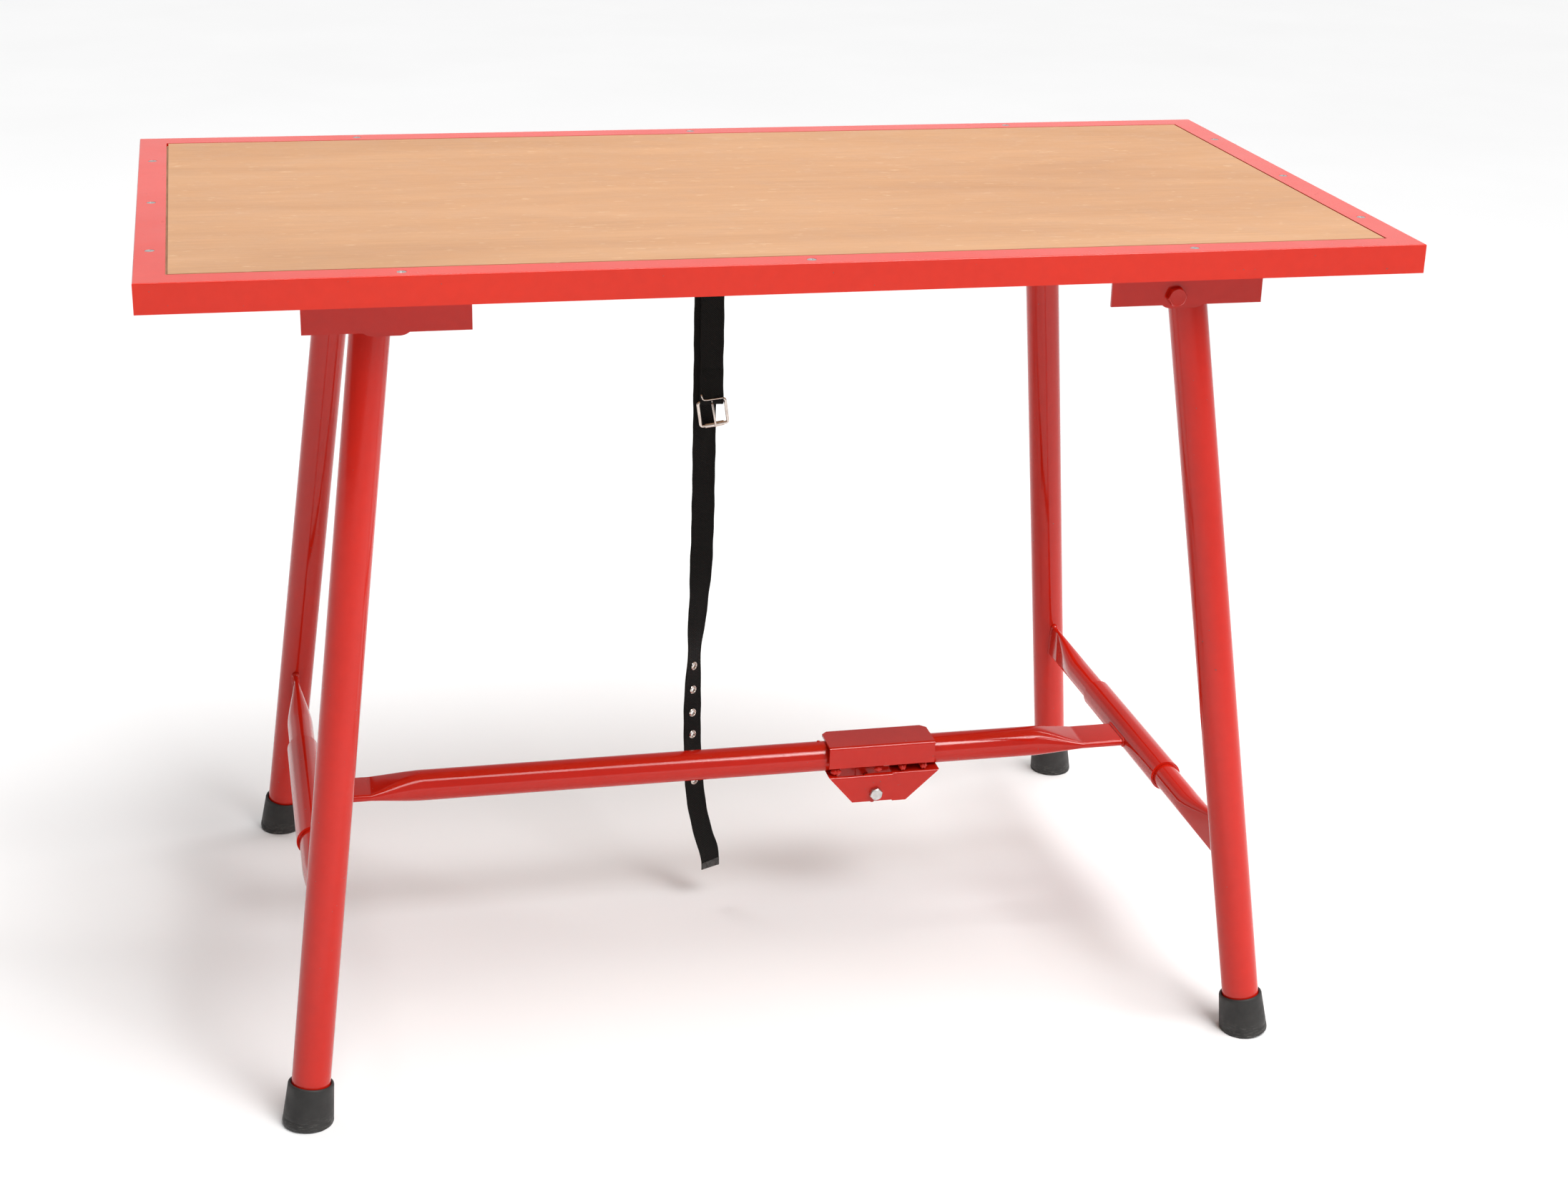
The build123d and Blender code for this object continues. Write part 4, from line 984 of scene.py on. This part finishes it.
long_line = spline_points([Vector((x * MM, STRAP_Y, z * MM)) for x, z in LONG_ROUTE])
short_line = spline_points([Vector((SHORT_X, y * MM, z * MM)) for y, z in SHORT_ROUTE])
long_strap = webbing_strip("long_strap", long_line, webbing, ["strap_long"], STRAP_SHEET / 2,
                           twisted=True, end_thin=0.35)
SEALED_BELOW_Z = 54.5 * MM
tip_line = [p for p in long_line if p.z < SEALED_BELOW_Z]
long_tip = webbing_strip("long_strap_tip", tip_line, sealed_tip, (), STRAP_SHEET / 2 + 0.25 * MM,
                         STRAP_WIDTH / 2 + 0.2 * MM, twisted=True, end_thin=0.5)
short_piece = webbing_strip("short_strap", short_line, webbing, ["strap_short"], 0.72 * MM)


def turned_ring(section, centre, axis, side, up, segments=40):
    """Closed ring: a section of (height, radius) pairs turned about an axis."""
    rings = []
    for k in range(segments):
        turn = math.tau * k / segments
        spoke = side * math.cos(turn) + up * math.sin(turn)
        rings.append([centre + axis * h + spoke * r for h, r in section])
    return skin_rings(rings, loop=True)


def eyelet(centre, normal):
    """Pressed eyelet: rolled flange in front, barrel through the strap, washer behind."""
    hole, flange = 2.8 * MM, 4.8 * MM
    half = STRAP_SHEET / 2
    section = [
        (-half - 0.60 * MM, hole), (-half - 0.75 * MM, hole + 0.7 * MM),
        (-half - 0.55 * MM, flange - 0.5 * MM), (-half - 0.10 * MM, flange),
        (-half + 0.3 * MM, hole + 0.85 * MM), (half - 0.3 * MM, hole + 0.85 * MM),
        (half + 0.10 * MM, flange), (half + 0.45 * MM, flange - 0.30 * MM),
        (half + 0.95 * MM, flange - 1.0 * MM), (half + 0.95 * MM, hole + 0.6 * MM),
        (half + 0.55 * MM, hole + 0.15 * MM), (half, hole),
    ]
    return turned_ring(section, centre, normal, *axes_for(normal))


def eyelet_normal(z):
    side = across_at(z, True)
    return Vector((side.y, -side.x, 0.0))


def eyelet_set():
    all_verts, all_faces = [], []
    for z in EYELET_Z:
        ring = eyelet(line_at_height(long_line, z * MM), eyelet_normal(z * MM))
        add_part(all_verts, all_faces, ring)
    piece = new_piece("eyelet_rings", all_verts, all_faces, nickel, "top",
                      replaces=["strap_eyelets"])
    return sharpen(outward(piece), 55)


eyelets = eyelet_set()


def punch_eyelets():
    """Cuts the strap where the eyelets go through it."""
    cutters = []
    for z in EYELET_Z:
        bpy.ops.mesh.primitive_cylinder_add(
            vertices=32, radius=3.1 * MM, depth=10 * MM, location=line_at_height(long_line, z * MM),
            rotation=eyelet_normal(z * MM).to_track_quat("Z", "Y").to_euler(),
        )
        cutters.append(bpy.context.object)
    for cutter in cutters:
        modifier = long_strap.modifiers.new("hole", "BOOLEAN")
        modifier.operation = "DIFFERENCE"
        modifier.object = cutter
    bpy.context.view_layer.update()
    graph = bpy.context.evaluated_depsgraph_get()
    cut = bpy.data.meshes.new_from_object(long_strap.evaluated_get(graph))
    long_strap.modifiers.clear()
    long_strap.data = cut
    for cutter in cutters:
        bpy.data.objects.remove(cutter)


punch_eyelets()

buckle_low, buckle_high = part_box("buckle_frame")
BUCKLE_WIRE = (buckle_high[1] - buckle_low[1]) / 2
BUCKLE_TOP = buckle_high[2] - BUCKLE_WIRE
BUCKLE_BOTTOM = buckle_low[2] + BUCKLE_WIRE
BUCKLE_HALF = (buckle_high[0] - buckle_low[0]) / 2 - BUCKLE_WIRE
BUCKLE_TILT = math.radians(-8.0)
BUCKLE_PIVOT = Vector((SHORT_X, SHORT_Y, BUCKLE_TOP))


def tilted(points):
    """Points turned about the buckle's top bar, as it hangs a little askew."""
    turn = Matrix.Rotation(BUCKLE_TILT, 3, "Y")
    return [BUCKLE_PIVOT + turn @ (Vector(p) - BUCKLE_PIVOT) for p in points]


def stitches():
    """Box of stitching that holds the short strap's tail."""
    all_verts, all_faces = [], []
    half_w = 9.5 * MM
    z_low, z_high = BUCKLE_TOP + 17 * MM, BUCKLE_TOP + 34 * MM
    corners = [(-half_w, z_low), (half_w, z_low), (half_w, z_high), (-half_w, z_high)]
    runs = list(zip(corners, corners[1:] + corners[:1]))
    runs += [(corners[0], corners[2]), (corners[1], corners[3])]
    front = SHORT_Y - 0.2 * MM - 0.72 * MM
    for (x0, z0), (x1, z1) in runs:
        length = math.hypot(x1 - x0, z1 - z0)
        count = max(2, int(length / (2.6 * MM)))
        for i in range(count):
            a, b = (i + 0.15) / count, (i + 0.85) / count
            points = []
            for s in range(6):
                share = a + (b - a) * s / 5
                lift = math.sin(math.pi * s / 5) * 0.22 * MM
                points.append(Vector((SHORT_X + x0 + (x1 - x0) * share, front - lift,
                                      z0 + (z1 - z0) * share)))
            add_part(all_verts, all_faces, tube_along(points, 0.26 * MM, segments=8))
    piece = new_piece("strap_stitching", all_verts, all_faces, webbing, "top")
    return outward(piece)


stitching = stitches()


def buckle():
    """Wire frame with rounded corners, a loose roller and a bent prong."""
    corner = 2.4 * MM
    points = []
    centre_z = (BUCKLE_TOP + BUCKLE_BOTTOM) / 2
    half_h = (BUCKLE_TOP - BUCKLE_BOTTOM) / 2
    for sx, sz, start in ((1, 1, 0), (-1, 1, 90), (-1, -1, 180), (1, -1, 270)):
        for i in range(9):
            turn = math.radians(start + 90 * i / 8)
            points.append(Vector((
                SHORT_X + sx * (BUCKLE_HALF - corner) + corner * math.cos(turn),
                SHORT_Y,
                centre_z + sz * (half_h - corner) + corner * math.sin(turn),
            )))
    verts, faces = tube_along(points, BUCKLE_WIRE, segments=20, loop=True)
    verts = tilted(verts)
    ring = outward(new_piece("buckle_wire", verts, faces, nickel, "top",
                             replaces=["buckle_frame"]))
    roller_low, roller_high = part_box("buckle_roller")
    length = roller_high[0] - roller_low[0]
    r_out, r_in = BUCKLE_WIRE + 1.1 * MM, BUCKLE_WIRE + 0.2 * MM
    section = [(0.25 * MM, r_in), (0.0, r_in + 0.25 * MM), (0.0, r_out - 0.3 * MM), (0.3 * MM, r_out),
               (length - 0.3 * MM, r_out), (length, r_out - 0.3 * MM), (length, r_in + 0.25 * MM),
               (length - 0.25 * MM, r_in)]
    start = Vector((roller_low[0], SHORT_Y, BUCKLE_BOTTOM))
    verts, faces = turned_ring(section, start, *(Vector(axis) for axis in ((1, 0, 0), (0, 1, 0), (0, 0, 1))))
    verts = tilted(verts)
    roll = new_piece("buckle_roll", verts, faces, nickel, "top", replaces=["buckle_roller"])
    sharpen(outward(roll), 40)
    coil = []
    r = BUCKLE_WIRE + 1.05 * MM
    for i in range(25):
        turn = math.radians(-60 + 300 * i / 24)
        coil.append(Vector((SHORT_X, SHORT_Y + r * math.cos(turn), BUCKLE_TOP + r * math.sin(turn))))
    for i in range(1, 25):
        share = i / 24
        coil.append(Vector((
            SHORT_X + 0.6 * MM * share,
            SHORT_Y - 2.4 * MM - 2.2 * MM * math.sin(math.pi * share * 0.9),
            BUCKLE_TOP - 1.0 * MM - 28.0 * MM * share,
        )))
    radii = [0.85 * MM] * 25 + [(1.15 if i < 20 else 1.15 - 0.1 * (i - 20)) * MM for i in range(1, 25)]
    verts, faces = tube_along(coil, radii, segments=16)
    verts = tilted(verts)
    prong = outward(new_piece("buckle_pin", verts, faces, nickel, "top",
                              replaces=["buckle_prong"]))
    return [ring, roll, prong]


def keeper():
    """Thin wire that runs up beside the short strap's left edge and across its front."""
    clear_of_fold = 4.6 * MM
    front = SHORT_Y - clear_of_fold
    bend = [(-34.9, 612.6), (-34.2, 609.6), (-33.2, 607.2), (-31.4, 606.2), (-28.0, 606.2), (-11.1, 608.0)]
    points = [Vector((x * MM, front, z * MM)) for x, z in bend]
    verts, faces = tube_along(points, 0.75 * MM, segments=16)
    return outward(new_piece("buckle_keeper", verts, faces, nickel, "top"))


buckle_pieces = buckle() + [keeper()]


# ---------------------------------------------------------------- camera, floor and light

def camera():
    """Camera placed to match the photo's view."""
    focal_pixels, photo_width, sensor_width = 3537.08, 2192.0, 36.0
    position = Vector((-530.99, -2488.30, 1395.03)) * MM
    yaw, pitch, roll = -0.2304, -0.3760, 0.0266
    forward = Vector((-math.sin(yaw) * math.cos(pitch), math.cos(yaw) * math.cos(pitch), math.sin(pitch)))
    level = Vector((math.cos(yaw), math.sin(yaw), 0.0))
    above = level.cross(forward)
    right = level * math.cos(roll) + above * math.sin(roll)
    up = above * math.cos(roll) - level * math.sin(roll)
    data = bpy.data.cameras.new("camera")
    data.sensor_width = sensor_width
    data.lens = sensor_width * focal_pixels / photo_width
    data.clip_start, data.clip_end = 0.05, 60.0
    shot = link(bpy.data.objects.new("camera", data))
    basis = Matrix((right, up, -forward)).transposed().to_4x4()
    shot.matrix_world = Matrix.Translation(position) @ basis
    bpy.context.scene.camera = shot


def area_light(name, place, aim, size, power):
    data = bpy.data.lights.new(name, "AREA")
    data.shape = "RECTANGLE"
    data.size, data.size_y = size
    data.energy = power
    lamp = link(bpy.data.objects.new(name, data))
    lamp.location = place
    lamp.rotation_euler = (Vector(aim) - Vector(place)).to_track_quat("-Z", "Y").to_euler()


def studio():
    """Pale floor a hair under the feet."""
    half, under_feet = 14.0, 0.2 * MM
    mesh = bpy.data.meshes.new("floor")
    corners = [(-half, -half, 0), (half, -half, 0), (half, half, 0), (-half, half, 0)]
    mesh.from_pydata(corners, [], [(0, 1, 2, 3)])
    floor = link(bpy.data.objects.new("floor", mesh))
    floor.location = (0, 0, -under_feet)
    material, tree, shader, coords = start_material("floor_paper")
    tone = span(tree, noise(tree, coords, 1.5, 3.0), 0.3, 0.7, 0.90, 0.92)
    tree.links.new(tone, shader.inputs["Base Color"])
    shader.inputs["Roughness"].default_value = 0.9
    shader.inputs["Specular IOR Level"].default_value = 0.1
    mesh.materials.append(material)


def room_light():
    """Plain studio surround: brighter behind and to the right, dimmer to the left and in front."""
    base_level, rise_to_right, rise_behind = 0.36, 0.20, 0.42
    world = bpy.data.worlds.new("studio")
    world.use_nodes = True
    tree = world.node_tree
    background = tree.nodes["Background"]
    coords = tree.nodes.new("ShaderNodeTexCoord")
    x, y, z = separate(tree, coords.outputs["Generated"])[:3]
    behind = times(tree, span(tree, y, 0.1, 0.8), span(tree, z, 0.36, 0.24))
    level = math_node(tree, "ADD", times(tree, x, rise_to_right), base_level)
    level = math_node(tree, "ADD", level, times(tree, behind, rise_behind))
    tree.links.new(level, background.inputs[0])
    background.inputs[1].default_value = 1.0
    bpy.context.scene.world = world
    sun_data = bpy.data.lights.new("soft_key", "SUN")
    sun_data.energy = 2.35
    sun_data.angle = math.radians(40)
    sun = link(bpy.data.objects.new("soft_key", sun_data))
    sun.rotation_euler = Vector((-0.6, 0.8, -1.9)).to_track_quat("-Z", "Y").to_euler()
    area_light("overhead", (0.2, 0.9, 3.0), (0, 0, 0.5), (3.4, 0.14), 38.0)
    area_light("right_front", (0.9, -1.9, 2.3), (0.1, 0, 0.6), (0.8, 0.8), 20.0)
    bpy.context.scene.view_settings.view_transform = "Standard"


camera()
studio()
room_light()
